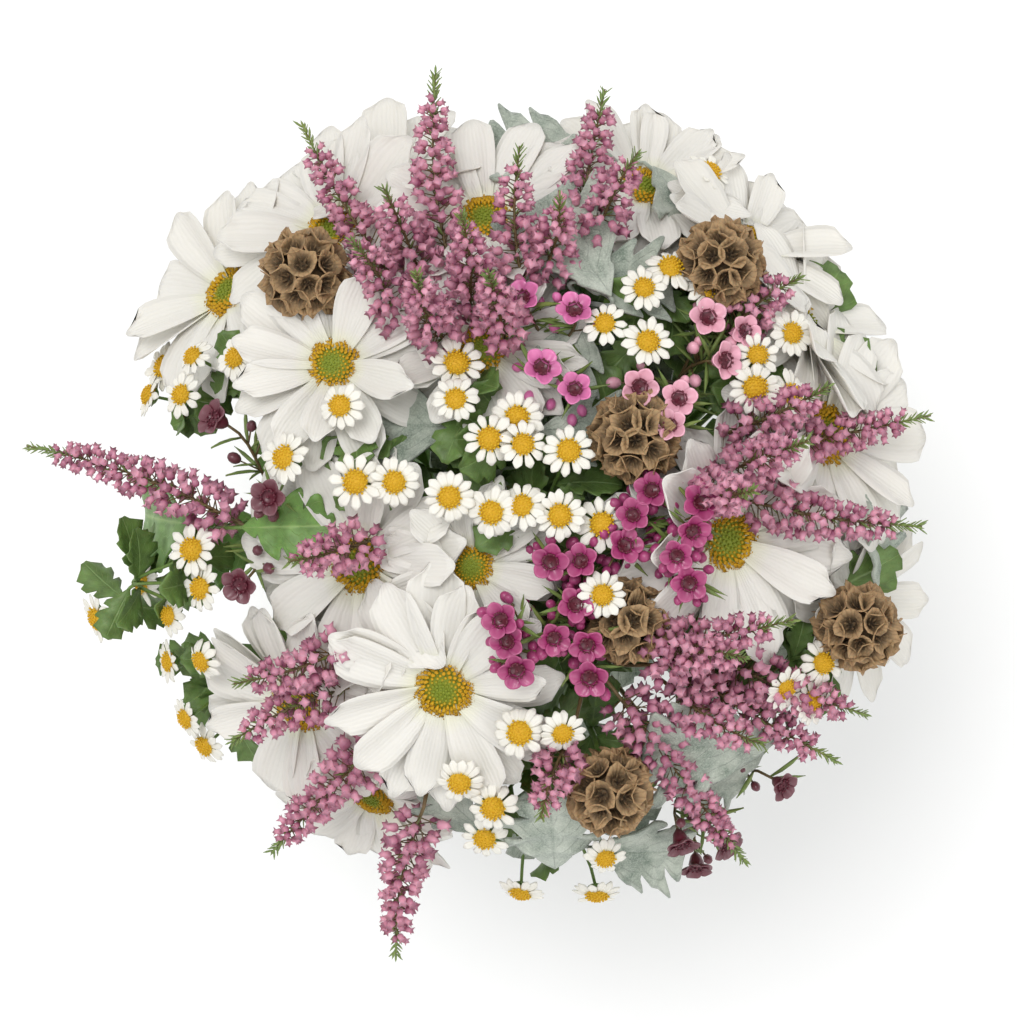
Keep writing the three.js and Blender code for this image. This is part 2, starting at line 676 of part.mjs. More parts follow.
// The twine: one wound band, just clear of the outermost stems.
function binding() {
  const { height, thickness, bevel, sides } = BINDING;
  const edge = TIE_HEIGHT + height / 2;
  const reach = Math.max(...sprigs.map(({ slot, kind }) => spiral(slot, edge).length() + kind.stem));
  const inner = (reach + GAP) / Math.cos(Math.PI / sides);
  const profile = [
    [inner, -height / 2],
    [inner + thickness, bevel - height / 2],
    [inner + thickness, height / 2 - bevel],
    [inner, height / 2],
    [inner, -height / 2],
  ];
  const points = profile.map(([radius, z]) => new THREE.Vector2(radius, z));
  return new THREE.LatheGeometry(points, sides).rotateX(Math.PI / 2).translate(0, 0, TIE_HEIGHT);
}

const bouquet = new THREE.Group();
for (const sprig of sprigs) bouquet.add(meshOf(sprig.name, sprig.family, geometryOf(joined(sprig))));
bouquet.add(meshOf("twine_binding", "twine_binding", binding()));

// The middle of the whole stands over the origin.
const middle = new THREE.Box3().setFromObject(bouquet).getCenter(vec(0, 0, 0));
bouquet.position.set(-middle.x, -middle.y, 0);

export default bouquet;
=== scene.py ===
"""Hand-tied bouquet: white daisy chrysanthemums, heather, feverfew, waxflower, starflower pods and
dusty miller, standing on its splayed stems. Metres, +Z up, in the frame's own place."""

import math
import random

import bmesh
import bpy
from mathutils import Matrix, Vector
from mathutils.geometry import interpolate_bezier


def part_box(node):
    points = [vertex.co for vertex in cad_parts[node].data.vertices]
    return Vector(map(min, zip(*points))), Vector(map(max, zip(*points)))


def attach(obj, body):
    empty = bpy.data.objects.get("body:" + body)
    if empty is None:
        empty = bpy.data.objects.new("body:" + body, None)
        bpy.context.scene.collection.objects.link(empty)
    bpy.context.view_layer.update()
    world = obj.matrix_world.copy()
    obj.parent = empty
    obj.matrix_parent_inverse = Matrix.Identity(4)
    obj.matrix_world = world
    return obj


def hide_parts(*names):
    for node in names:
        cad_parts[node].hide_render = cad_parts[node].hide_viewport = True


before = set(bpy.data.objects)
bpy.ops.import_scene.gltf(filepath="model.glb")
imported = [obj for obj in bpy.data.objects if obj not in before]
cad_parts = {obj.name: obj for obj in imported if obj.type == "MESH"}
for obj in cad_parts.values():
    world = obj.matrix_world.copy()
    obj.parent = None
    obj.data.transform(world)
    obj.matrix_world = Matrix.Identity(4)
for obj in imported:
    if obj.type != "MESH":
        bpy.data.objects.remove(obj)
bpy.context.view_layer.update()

bl_info = {
    "name": "Hand-tied chrysanthemum bouquet",
    "version": (1, 0, 0),
    "blender": (4, 5, 0),
    "location": "View3D > Sidebar > Bouquet",
    "description": "Grows petals, bells, pods, leaves and stems on the frame of a tied bunch",
    "category": "Object",
}

MM = 0.001
UP = Vector((0, 0, 1))
GOLDEN_ANGLE = math.pi * (3 - math.sqrt(5))


def linear(red, green, blue):
    """A colour in linear light from its usual 0 to 255 values."""
    steps = [value / 255 for value in (red, green, blue)]
    return tuple(s / 12.92 if s <= 0.04045 else ((s + 0.055) / 1.055) ** 2.4 for s in steps)


# ---------------- settings


def length_of(name, description, millimetres):
    return bpy.props.FloatProperty(
        name=name, description=description, default=millimetres * MM, unit="LENGTH", precision=5
    )


def colour_of(name, description, red, green, blue):
    return bpy.props.FloatVectorProperty(
        name=name, description=description, default=linear(red, green, blue),
        subtype="COLOR", min=0, max=1,
    )


class BouquetSizes(bpy.types.PropertyGroup):
    petal_width: length_of("Petal width", "Widest part of a chrysanthemum petal", 18.5)
    petal_thickness: length_of("Petal thickness", "Thickness of a chrysanthemum petal", 0.35)
    petal_count: bpy.props.IntProperty(
        name="Petals", description="Petals round each chrysanthemum", default=22, min=8, max=40
    )
    disc_florets: bpy.props.IntProperty(
        name="Disc florets", description="Tiny florets in a chrysanthemum's eye", default=180, min=40, max=400
    )
    chrysanthemum_stem: length_of("Chrysanthemum stem", "Radius of a chrysanthemum stem", 2.1)
    thin_stem: length_of("Thin stem", "Radius of the other stems", 1.15)
    twig: length_of("Twig", "Radius of a branch in a spray", 0.6)
    bell: length_of("Heather bell", "Length of a heather bell low on its spike", 4.4)
    bell_spacing: length_of("Bell spacing", "Rise from one heather bell to the next", 0.56)
    feverfew_reach: length_of("Feverfew radius", "Reach of a feverfew petal", 9.3)
    waxflower_reach: length_of("Waxflower radius", "Reach of a waxflower petal", 6.9)
    pod_radius: length_of("Pod radius", "Radius of a starflower pod", 14.0)
    twine: length_of("Twine", "Radius of one strand of the twine", 0.8)


class BouquetColours(bpy.types.PropertyGroup):
    petal: colour_of("Petal", "Chrysanthemum petal", 226, 223, 215)
    petal_base: colour_of("Petal base", "Chrysanthemum petal close to the eye", 226, 228, 190)
    disc_middle: colour_of("Eye middle", "Closed florets in the middle of an eye", 128, 142, 34)
    disc_ring: colour_of("Eye ring", "Open florets round an eye", 212, 166, 22)
    disc_tips: colour_of("Eye tips", "Brown tips of the open florets", 166, 108, 16)
    green: colour_of("Leaf green", "Leaves among the flowers", 106, 136, 68)
    bright_green: colour_of("Cut leaf green", "The cut green leaves", 112, 152, 72)
    stem: colour_of("Stem green", "Green stems", 104, 134, 62)
    wood: colour_of("Woody stem", "Heather and waxflower stems", 110, 92, 58)
    bell: colour_of("Heather bell", "Bells of the heather", 220, 156, 176)
    bell_deep: colour_of("Heather shade", "Deeper bells of the heather", 144, 70, 102)
    needle: colour_of("Heather needle", "Green tip of a heather spike", 118, 140, 72)
    feverfew: colour_of("Feverfew petal", "Feverfew petal", 236, 233, 222)
    feverfew_disc: colour_of("Feverfew eye", "Feverfew eye", 214, 172, 24)
    wax_pale: colour_of("Pale waxflower", "Pale pink waxflower", 226, 158, 176)
    wax_pink: colour_of("Pink waxflower", "Pink waxflower", 206, 100, 158)
    wax_deep: colour_of("Magenta waxflower", "Magenta waxflower", 160, 40, 104)
    wax_wine: colour_of("Wine waxflower", "Wine red waxflower and its cups", 96, 26, 44)
    pod: colour_of("Pod", "Papery starflower pod", 164, 134, 96)
    pod_hollow: colour_of("Pod hollow", "Depth of a pod's cups", 52, 40, 26)
    felt: colour_of("Dusty miller", "Felted leaf", 184, 191, 178)
    # felt_shade is painted shade: the felt's colour in its creases and soft hollows
    felt_shade: colour_of("Dusty miller shade", "Felted leaf in its hollows", 104, 120, 106)
    twine: colour_of("Twine", "Jute twine", 178, 148, 102)
    floor: colour_of("Floor", "The plain floor", 254, 254, 254)


# ---------------- materials


def scaled(colour, share, added=0.0):
    """The colour made darker or paler."""
    return tuple(min(1.0, channel * share + added) for channel in colour)


class Shader:
    """A Principled material that is built up socket by socket."""

    def __init__(self, name, roughness, **sockets):
        self.material = bpy.data.materials.new(name)
        self.material.use_nodes = True
        self.nodes = self.material.node_tree.nodes
        self.links = self.material.node_tree.links
        self.surface = self.nodes["Principled BSDF"]
        self.surface.inputs["Roughness"].default_value = roughness
        for socket, value in sockets.items():
            self.surface.inputs[socket.replace("_", " ")].default_value = value

    def node(self, kind, **values):
        made = self.nodes.new(kind)
        for key, value in values.items():
            if hasattr(made, key):
                setattr(made, key, value)
            else:
                made.inputs[key.replace("_", " ")].default_value = value
        return made

    def along(self):
        """How far across and along the petal, leaf or floret a point lies, from 0 to 1."""
        layer = self.node("ShaderNodeUVMap", uv_map="UVMap")
        split = self.node("ShaderNodeSeparateXYZ")
        self.links.new(layer.outputs["UV"], split.inputs["Vector"])
        return split.outputs["X"], split.outputs["Y"]

    def noise(self, size, detail, stretch=None, roughness=0.55):
        """Noise whose blotches are about size metres across."""
        source = self.node("ShaderNodeTexCoord").outputs["Object"]
        if stretch:
            mapping = self.node("ShaderNodeMapping", Scale=stretch)
            self.links.new(source, mapping.inputs["Vector"])
            source = mapping.outputs["Vector"]
        made = self.node("ShaderNodeTexNoise", Scale=1 / size, Detail=detail, Roughness=roughness)
        self.links.new(source, made.inputs["Vector"])
        return made.outputs["Fac"]

    def ramp(self, factor, *stops):
        """A colour that runs through the stops as the factor rises."""
        made = self.node("ShaderNodeValToRGB")
        band = made.color_ramp
        while len(band.elements) < len(stops):
            band.elements.new(0.5)
        for element, (place, colour) in zip(band.elements, stops):
            element.position = place
            element.color = (*colour, 1)
        self.links.new(factor, made.inputs["Fac"])
        return made.outputs["Color"]

    def grey(self, factor, *stops):
        return self.ramp(factor, *[(place, (value,) * 3) for place, value in stops])

    def mix(self, factor, first, second):
        made = self.node("ShaderNodeMix", data_type="RGBA")
        for socket, value in (("Factor", factor), ("A", first), ("B", second)):
            self.feed(made, socket, value)
        return made.outputs["Result"]

    def blend(self, factor, low, high, first, second, most=1.0):
        """The first colour below low, turned to the second by high, or to that share of it."""
        return self.mix(self.grey(factor, (low, 0.0), (high, most)), first, second)

    def feed(self, node, socket, value):
        """Links a value to the socket of that name that is in use, or sets it."""
        target = next(s for s in node.inputs if s.name == socket and s.enabled)
        if isinstance(value, bpy.types.NodeSocket):
            self.links.new(value, target)
        elif isinstance(value, (int, float)):
            target.default_value = value
        else:
            target.default_value = (*value, 1)

    def math(self, operation, first, second=0.0):
        made = self.node("ShaderNodeMath", operation=operation)
        for i, value in enumerate((first, second)):
            if isinstance(value, bpy.types.NodeSocket):
                self.links.new(value, made.inputs[i])
            else:
                made.inputs[i].default_value = value
        return made.outputs[0]

    def ridges(self, value, rate):
        """Ridges across a value, one for each half turn of its rate."""
        return self.math("ABSOLUTE", self.math("SINE", self.math("MULTIPLY", value, rate)))

    def veins(self, sweep, rate):
        """How far a point lies from the midrib, and the side veins that sweep away from it."""
        across, along = self.along()
        off = self.math("ABSOLUTE", self.math("SUBTRACT", across, 0.5))
        swept = self.math("SUBTRACT", along, self.math("MULTIPLY", off, sweep))
        return off, self.ridges(swept, rate)

    def colour(self, source):
        self.links.new(source, self.surface.inputs["Base Color"])

    def finish(self, colour, roughness, relief, depth, strength):
        """Links colour, roughness and relief to the surface, and gives the material."""
        bump = self.node("ShaderNodeBump", Strength=strength, Distance=depth)
        self.links.new(relief, bump.inputs["Height"])
        self.links.new(bump.outputs["Normal"], self.surface.inputs["Normal"])
        self.links.new(roughness, self.surface.inputs["Roughness"])
        self.colour(colour)
        return self.material


def petal_material(name, tip, base, scale, veins):
    """A petal: fine veins along it, a tinge at its base and a faint mottle."""
    shade = Shader(
        name, 0.55, Subsurface_Weight=0.12, Subsurface_Scale=2 * MM, Subsurface_Radius=(1.0, 0.9, 0.7)
    )
    across, along = shade.along()
    swayed = shade.math("ADD", across, shade.math("MULTIPLY", shade.noise(4 * MM * scale, 2), 0.06))
    wave = shade.math("SINE", shade.math("MULTIPLY", swayed, veins * 2 * math.pi))
    vein = shade.math("MULTIPLY", shade.math("ADD", wave, 1.0), 0.5)
    body = shade.ramp(along, (0.0, base), (0.3, tip), (1.0, tip))
    veined = shade.mix(shade.grey(vein, (0.0, 0.14), (0.35, 0.0)), body, scaled(tip, 0.86))
    mottled = shade.blend(shade.noise(9 * MM * scale, 3), 0.35, 0.75, veined, scaled(tip, 0.9), 0.16)
    rough = shade.grey(vein, (0.0, 0.62), (1.0, 0.48))
    return shade.finish(mottled, rough, vein, 0.16 * MM * scale, 0.5)


def eye_material(name, middle, ring, tips):
    """Disc florets: u runs from an eye's middle to its rim, v from a floret's foot to its mouth."""
    shade = Shader(name, 0.7)
    across, along = shade.along()
    spread = shade.ramp(across, (0.0, middle), (0.3, middle), (0.52, ring), (1.0, ring))
    tipped = shade.math("MULTIPLY", shade.grey(across, (0.55, 0.0), (0.75, 1.0)), along)
    body = shade.blend(tipped, 0.72, 0.98, spread, tips, 0.6)
    fleck = shade.noise(0.9 * MM, 2)
    flecked = shade.blend(fleck, 0.48, 0.75, body, shade.mix(0.5, body, scaled(ring, 0.4)), 0.4)
    rough = shade.grey(fleck, (0.3, 0.55), (0.7, 0.85))
    return shade.finish(flecked, rough, shade.noise(0.5 * MM, 2), 0.2 * MM, 0.5)


def stem_material(name, colour, streak):
    """A stem: fine dark streaks up it, and warmer blotches."""
    shade = Shader(name, 0.5)
    streaks = shade.noise(1.1 * MM, 3, stretch=(1, 1, 0.08))
    body = shade.blend(streaks, 0.35, 0.7, colour, scaled(colour, streak), 0.75)
    warm = (colour[0] * 1.5, colour[1] * 1.12, colour[2] * 0.9)
    blotched = shade.blend(shade.noise(14 * MM, 3), 0.5, 0.75, body, warm, 0.5)
    return shade.finish(blotched, shade.grey(streaks, (0.2, 0.4), (0.8, 0.68)), streaks, 0.3 * MM, 0.5)


def leaf_material(name, colour, pale):
    """A green leaf: paler veins that branch from the midrib."""
    shade = Shader(name, 0.48, Subsurface_Weight=0.08, Subsurface_Scale=1 * MM)
    off, side = shade.veins(0.7, 24.0)
    rib = shade.grey(off, (0.0, 1.0), (0.035, 0.0))
    net = shade.math("MAXIMUM", rib, shade.grey(side, (0.0, 0.8), (0.12, 0.0)))
    mottle = shade.noise(5 * MM, 4)
    body = shade.blend(mottle, 0.35, 0.7, colour, scaled(colour, 0.55))
    veined = shade.mix(shade.math("MULTIPLY", net, 0.5), body, pale)
    relief = shade.math("SUBTRACT", mottle, shade.math("MULTIPLY", net, 0.6))
    return shade.finish(veined, shade.grey(mottle, (0.3, 0.42), (0.8, 0.6)), relief, 0.5 * MM, 0.6)


def felt_material(name, colour, hollow):
    """Felted leaf: short pale fur, with painted shade in its creases and in soft blotchy hollows."""
    shade = Shader(name, 0.92, Sheen_Weight=0.45, Sheen_Roughness=0.5)
    off, side = shade.veins(0.9, 19.0)
    rib = shade.grey(off, (0.0, 1.0), (0.03, 0.0))
    crease = shade.math("MAXIMUM", rib, shade.grey(side, (0.0, 0.7), (0.15, 0.0)))
    fur = shade.noise(0.6 * MM, 4, roughness=0.7)
    # painted shade: soft blotches of the felt turned towards its shaded colour
    body = shade.blend(shade.noise(8 * MM, 3), 0.35, 0.7, colour, hollow, 0.9)
    # painted shade along the midrib and the side veins
    crease_shaded = shade.mix(shade.math("MULTIPLY", crease, 0.4), body, hollow)
    furred = shade.blend(fur, 0.45, 0.75, crease_shaded, scaled(colour, 1.5), 0.55)
    rough = shade.grey(fur, (0.2, 0.85), (0.8, 1.0))
    return shade.finish(furred, rough, shade.math("SUBTRACT", fur, crease), 0.5 * MM, 0.7)


def bell_material(name, pale, deep):
    """Heather bells: u gives every bell its own pink, and v runs to its mouth, near which a paler band is a
    painted highlight.
    """
    shade = Shader(name, 0.55, Subsurface_Weight=0.1, Subsurface_Scale=1 * MM)
    each, along = shade.along()
    # painted highlight: a paler band round each bell towards its mouth
    mouth = shade.grey(along, (0.3, 0.0), (0.7, 0.45), (1.0, 0.1))
    body = shade.mix(mouth, shade.mix(each, pale, deep), scaled(pale, 1.25, 0.1))
    rough = shade.grey(each, (0.0, 0.45), (1.0, 0.65))
    return shade.finish(body, rough, shade.noise(0.7 * MM, 2), 0.15 * MM, 0.5)


def wax_material(name, petal, cup):
    """Waxflower: v is how far out a point of the flower lies, and the cup in its middle is dark."""
    shade = Shader(name, 0.38, Coat_Weight=0.15)
    _, along = shade.along()
    tint = shade.noise(7 * MM, 2)
    body = shade.blend(tint, 0.35, 0.7, petal, scaled(petal, 0.62), 0.8)
    edged = shade.blend(along, 0.45, 0.95, body, scaled(petal, 1.3, 0.12), 0.5)
    cupped = shade.mix(shade.grey(along, (0.22, 1.0), (0.38, 0.0)), edged, cup)
    rough = shade.grey(tint, (0.3, 0.3), (0.8, 0.5))
    return shade.finish(cupped, rough, shade.noise(1.2 * MM, 2), 0.2 * MM, 0.5)


def pod_material(name, rim, hollow):
    """Papery cups: v runs from a cup's depth to its rim, and u round it across the ribs."""
    shade = Shader(name, 0.75, Subsurface_Weight=0.08, Subsurface_Scale=1 * MM)
    across, along = shade.along()
    ribs = shade.ridges(across, 16 * math.pi)
    paper = shade.noise(1.6 * MM, 4)
    body = shade.ramp(along, (0.0, hollow), (0.5, scaled(rim, 0.36)), (0.92, rim), (1.0, rim))
    ribbed = shade.mix(shade.grey(ribs, (0.0, 0.6), (0.4, 0.0)), body, scaled(rim, 0.5))
    papery = shade.blend(paper, 0.5, 0.75, ribbed, scaled(rim, 1.45), 0.5)
    rough = shade.grey(paper, (0.3, 0.65), (0.8, 0.9))
    return shade.finish(papery, rough, shade.math("ADD", ribs, paper), 0.3 * MM, 0.7)


def twine_material(name, colour):
    """Jute: fine fibres with painted shade between them, and paler patches."""
    shade = Shader(name, 0.9)
    fibre = shade.noise(0.5 * MM, 4, roughness=0.7)
    # painted shade: the fine noise darkens the twine between its fibres
    body = shade.blend(fibre, 0.35, 0.7, colour, scaled(colour, 0.45), 0.9)
    patched = shade.blend(shade.noise(5 * MM, 3), 0.45, 0.75, body, scaled(colour, 1.35), 0.5)
    return shade.finish(patched, shade.grey(fibre, (0.3, 0.8), (0.8, 1.0)), fibre, 0.3 * MM, 0.8)


MATERIALS = {}


def settings_in(group):
    return [key for key in group.bl_rna.properties.keys() if key not in ("rna_type", "name")]


def materials():
    """Makes each material once, from the colours in the panel."""
    if MATERIALS:
        return MATERIALS
    hue = bpy.context.scene.bouquet_colours
    plain = {key: tuple(getattr(hue, key)) for key in settings_in(hue)}
    MATERIALS.update(
        petal=petal_material("white_petal", plain["petal"], plain["petal_base"], 1.0, 11.0),
        small_petal=petal_material("feverfew_petal", plain["feverfew"], plain["petal_base"], 0.4, 4.0),
        eye=eye_material("chrysanthemum_eye", plain["disc_middle"], plain["disc_ring"], plain["disc_tips"]),
        small_eye=eye_material(
            "feverfew_eye", plain["disc_ring"], plain["feverfew_disc"], plain["disc_ring"]
        ),
        leaf=leaf_material("green_leaf", plain["green"], linear(150, 178, 110)),
        cut_leaf=leaf_material("cut_green_leaf", plain["bright_green"], linear(168, 196, 124)),
        stem=stem_material("green_stem", plain["stem"], 0.6),
        wood=stem_material("woody_stem", plain["wood"], 0.55),
        needle=stem_material("heather_needle", plain["needle"], 0.7),
        bell=bell_material("heather_bell", plain["bell"], plain["bell_deep"]),
        wax_pale=wax_material("waxflower_pale", plain["wax_pale"], plain["wax_wine"]),
        wax_pink=wax_material("waxflower_pink", plain["wax_pink"], plain["wax_wine"]),
        wax_deep=wax_material("waxflower_magenta", plain["wax_deep"], plain["wax_wine"]),
        wax_wine=wax_material("waxflower_wine", plain["wax_wine"], plain["wax_wine"]),
        pod=pod_material("papery_pod", plain["pod"], plain["pod_hollow"]),
        felt=felt_material("dusty_felt", plain["felt"], plain["felt_shade"]),
        twine=twine_material("jute_twine", plain["twine"]),
    )
    return MATERIALS


# ---------------- reading the frame

# For each kind of sprig in the frame: the sides of the regular flat that marks each of its heads, that
# flat's least radius and the stem's radius, both in millimetres.
FRAME_KINDS = {
    "chrysanthemum": (9, 0.5, 2.0),
    "feverfew": (6, 2.0, 1.1),
    "waxflower": (5, 1.2, 1.1),
    "starflower_pod": (7, 3.0, 1.2),
    "heather": (5, 0.2, 1.1),
    "dusty_miller": (6, 2.0, 1.5),
    "green_leaf": (6, 2.0, 1.5),
}
HEAD_SHARE = 0.235  # radius of a chrysanthemum's flat to the whole head's
SPIKE_SHARE = 0.0125  # radius of a heather tip's flat to its spike's length
BLADE_SHARE = 0.1  # radius of a leaf's flat to its length
POD_FLAT_HEIGHT = 0.92  # how far up a pod its flat lies
BUNCH_MIDDLE = Vector((0, 0, 0.2))
LOWEST_HEAD = 0.15
SAME_PLANE = 0.99995  # cosine of the angle between the normals of faces in one plane
AT_RIM = 0.985  # share of a flat's radius from which a corner is on its rim
AREA_ERROR = 0.03  # how far a regular flat's area may be off
FIRST_SLICE = 1.5 * MM
SLICE_STEP = 9 * MM
MOST_SLICES = 60
SLICE_DRIFT = 8 * MM  # a slice's points lie at most this far from where the stem is heading
SLICE_WIDTH = 2.6  # stem radii from which a slice is wider than the stem alone
BARE_STEM = 50 * MM  # the leaves are stripped from this much stem above the twine
LEAVES_UP_A_STEM = 9


def kind_of(node):
    return node.rsplit("_", 1)[0]


def family(name):
    """The frame's nodes of one kind, in order."""
    return sorted(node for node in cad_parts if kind_of(node) == name)


def welded(node):
    bm = bmesh.new()
    bm.from_mesh(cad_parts[node].data)
    bmesh.ops.remove_doubles(bm, verts=bm.verts, dist=2e-6)
    return bm


def patches(bm):
    """Groups of neighbouring faces that lie in one plane."""
    seen = set()
    for first in bm.faces:
        if first in seen:
            continue
        group, waiting = [], [first]
        seen.add(first)
        while waiting:
            face = waiting.pop()
            group.append(face)
            for edge in face.edges:
                for other in edge.link_faces:
                    if other not in seen and other.normal.dot(first.normal) > SAME_PLANE:
                        seen.add(other)
                        waiting.append(other)
        yield group


def flats(node):
    """Centre, direction and radius of each head of the node, from its flat in the frame."""
    sides, least, _ = FRAME_KINDS[kind_of(node)]
    full = sides / 2 * math.sin(2 * math.pi / sides)
    bm = welded(node)
    found = []
    for group in patches(bm):
        area = sum(face.calc_area() for face in group)
        corners = {vert for face in group for vert in face.verts}
        if len(corners) < sides or len(group) < sides - 2:
            continue
        middle = sum((f.calc_center_median() * f.calc_area() for f in group), Vector()) / max(area, 1e-12)
        reach = [(vert.co - middle).length for vert in corners]
        radius = max(reach)
        at_rim = sum(r > radius * AT_RIM for r in reach)
        if radius < least * MM or at_rim != sides or abs(area / (full * radius ** 2) - 1) > AREA_ERROR:
            continue
        normal = sum((f.normal * f.calc_area() for f in group), Vector()).normalized()
        if normal.dot(middle - BUNCH_MIDDLE) > 0 and middle.z > LOWEST_HEAD:
            found.append((middle, normal, radius))
    bm.free()
    if not found:
        raise RuntimeError(f"{node} has no heads")
    return found


def centreline(node):
    """Points up the middle of the node's stem, from its cut end to where it branches or meets its head."""
    thickest = FRAME_KINDS[kind_of(node)][2] * MM * SLICE_WIDTH
    bm = welded(node)
    points = []
    for step in range(MOST_SLICES):
        height = FIRST_SLICE + step * SLICE_STEP
        section = []
        for edge in bm.edges:
            low, high = sorted((vert.co for vert in edge.verts), key=lambda co: co.z)
            if low.z <= height < high.z:
                section.append(low.lerp(high, (height - low.z) / (high.z - low.z)))
        if len(points) > 1:
            heading = points[-1] * 2 - points[-2]
            section = [p for p in section if (p - heading).length < SLICE_DRIFT]
        if len(section) < 3:
            break
        box = [sorted(p[i] for p in section) for i in range(2)]
        centre = Vector(((box[0][0] + box[0][-1]) / 2, (box[1][0] + box[1][-1]) / 2, height))
        if max((p - centre).length for p in section) > thickest:
            break
        points.append(centre)
    bm.free()
    if len(points) < 6:
        raise RuntimeError(f"{node} has no stem to follow")
    return points


# ---------------- shapes


def standing(point, axis, along=UP, roll=0.0, scale=1.0):
    """A matrix that puts a shape made along +Z at a point, facing axis, its +Y towards along."""
    z = axis.normalized()
    y = along - z * along.dot(z)
    if y.length < 1e-4:
        y = Vector((0, 1, 0)) - z * z.y
    y.normalize()
    made = Matrix((y.cross(z), y, z)).transposed().to_4x4()
    made.translation = point
    return made @ Matrix.Rotation(roll, 4, "Z") @ Matrix.Scale(scale, 4)


def pitched(angle, axis="X"):
    return Matrix.Rotation(angle, 4, axis)


def shifted(x, y, z):
    return Matrix.Translation((x, y, z))


def as_template(bm, name):
    """Turns a bmesh into a mesh that can be added many times."""
    bmesh.ops.recalc_face_normals(bm, faces=bm.faces)
    for face in bm.faces:
        face.smooth = True
    mesh = bpy.data.meshes.new(name)
    bm.to_mesh(mesh)
    bm.free()
    return mesh


def new_shape():
    bm = bmesh.new()
    bm.loops.layers.uv.new("UVMap")
    return bm


def add(bm, template, matrix, across=None):
    """Adds a copy of a template, moved by matrix; across sets u all over it."""
    copy = template.copy()
    copy.transform(matrix)
    if across is not None:
        layer = copy.uv_layers[0].uv
        values = [0.0] * (2 * len(layer))
        layer.foreach_get("vector", values)
        values[0::2] = [across] * len(layer)
        layer.foreach_set("vector", values)
    bm.from_mesh(copy)
    bpy.data.meshes.remove(copy)


def blade(
    length, width, outline, rows, columns, thickness, cup=0.0, bend=0.0, ripple=0.0, blunt=0.06, sway=0.0
):
    """A petal or leaf lying along +Y from the origin: outline(t) is its half width, t from foot to tip;
    cup lifts its edges, bend (radians) curls it up along its length, ripple furrows it lengthwise, blunt
    draws its tip's edges back and sway swings it sideways."""
    bm = new_shape()
    bmesh.ops.create_grid(bm, x_segments=columns, y_segments=rows, size=1.0, calc_uvs=True)
    for vert in bm.verts:
        x, t = vert.co.x, (vert.co.y + 1) / 2
        half = width / 2 * max(0.02, outline(t))
        run = t - blunt * x * x * t ** 3
        turn = bend * run
        if abs(bend) > 1e-3:
            y, z = length * math.sin(turn) / bend, length * (1 - math.cos(turn)) / bend
        else:
            y, z = length * run, 0.0
        furrow = (1 - math.cos(2 * math.pi * x)) * math.sin(math.pi * min(1, t * 1.1))
        lift = cup * half * x * x + ripple * furrow
        side = x * half + sway * length * math.sin(math.pi * t * 0.9) * t
        vert.co = Vector((side, y - lift * math.sin(turn), z + lift * math.cos(turn)))
    bmesh.ops.remove_doubles(bm, verts=bm.verts, dist=1e-5 * length)
    bmesh.ops.recalc_face_normals(bm, faces=bm.faces)
    bmesh.ops.solidify(bm, geom=bm.faces[:], thickness=thickness)
    return bm


def daisy_outline(t):
    """Half width of a ray petal: narrow foot, widest past the middle, round tip."""
    if t < 0.7:
        return 0.38 + 0.62 * math.sin(math.pi / 2 * t / 0.7) ** 1.1
    return (1 - ((t - 0.7) / 0.32) ** 3.2) ** 0.5


def lobed(lobes, depth):
    """The outline of a leaf with that many pairs of lobes."""
    def outline(t):
        whole = (0.16 + 1.0 * math.sin(math.pi * min(1, t * 0.98 + 0.02)) ** 0.7) * (0.75 + 0.35 * t)
        foot = min(1.0, 0.12 + t * 3.2)
        notch = abs(math.sin(math.pi * (lobes * t + 0.18))) ** 0.6
        return whole * foot * (1 - depth + depth * notch)
    return outline


def round_outline(t):
    return 0.42 + 0.58 * math.sin(math.pi * min(1, 0.12 + t * 0.74)) ** 0.8


def lance_outline(t):
    return math.sin(math.pi * min(1.0, 0.04 + t * 0.96)) ** 0.8


def leaf_template(
    name, width, outline, seed, rows, columns, thickness, cup=0.25, bend=-0.5, lobes_forward=0.16, wave=0.05
):
    """A leaf of unit length whose lobes sweep forward and whose edges wave."""
    rng = random.Random(seed)
    phase = rng.uniform(0, 6)
    bm = blade(1.0, width, outline, rows, columns, thickness, cup=cup, bend=bend, blunt=0.0)
    for vert in bm.verts:
        off = abs(vert.co.x) / (width / 2)
        vert.co.y += lobes_forward * width * off * off
        vert.co.z += wave * width * math.sin(7.2 * math.pi * vert.co.y + phase) * off
    return as_template(bm, name)


def spun(bm, outline, steps):
    """Spins an outline of radii and heights about the Z axis."""
    points = [bm.verts.new((radius, 0, height)) for radius, height in outline]
    edges = [bm.edges.new(pair) for pair in zip(points, points[1:])]
    bmesh.ops.spin(
        bm, geom=points + edges, cent=(0, 0, 0), axis=(0, 0, 1), angle=2 * math.pi, steps=steps,
        use_merge=True,
    )
    bmesh.ops.remove_doubles(bm, verts=bm.verts, dist=1e-4)


def chart(faces, layer, rule):
    """Sets u and v at the corners of the faces by a rule from their places."""
    for face in faces:
        for loop in face.loops:
            loop[layer].uv = rule(loop.vert.co)


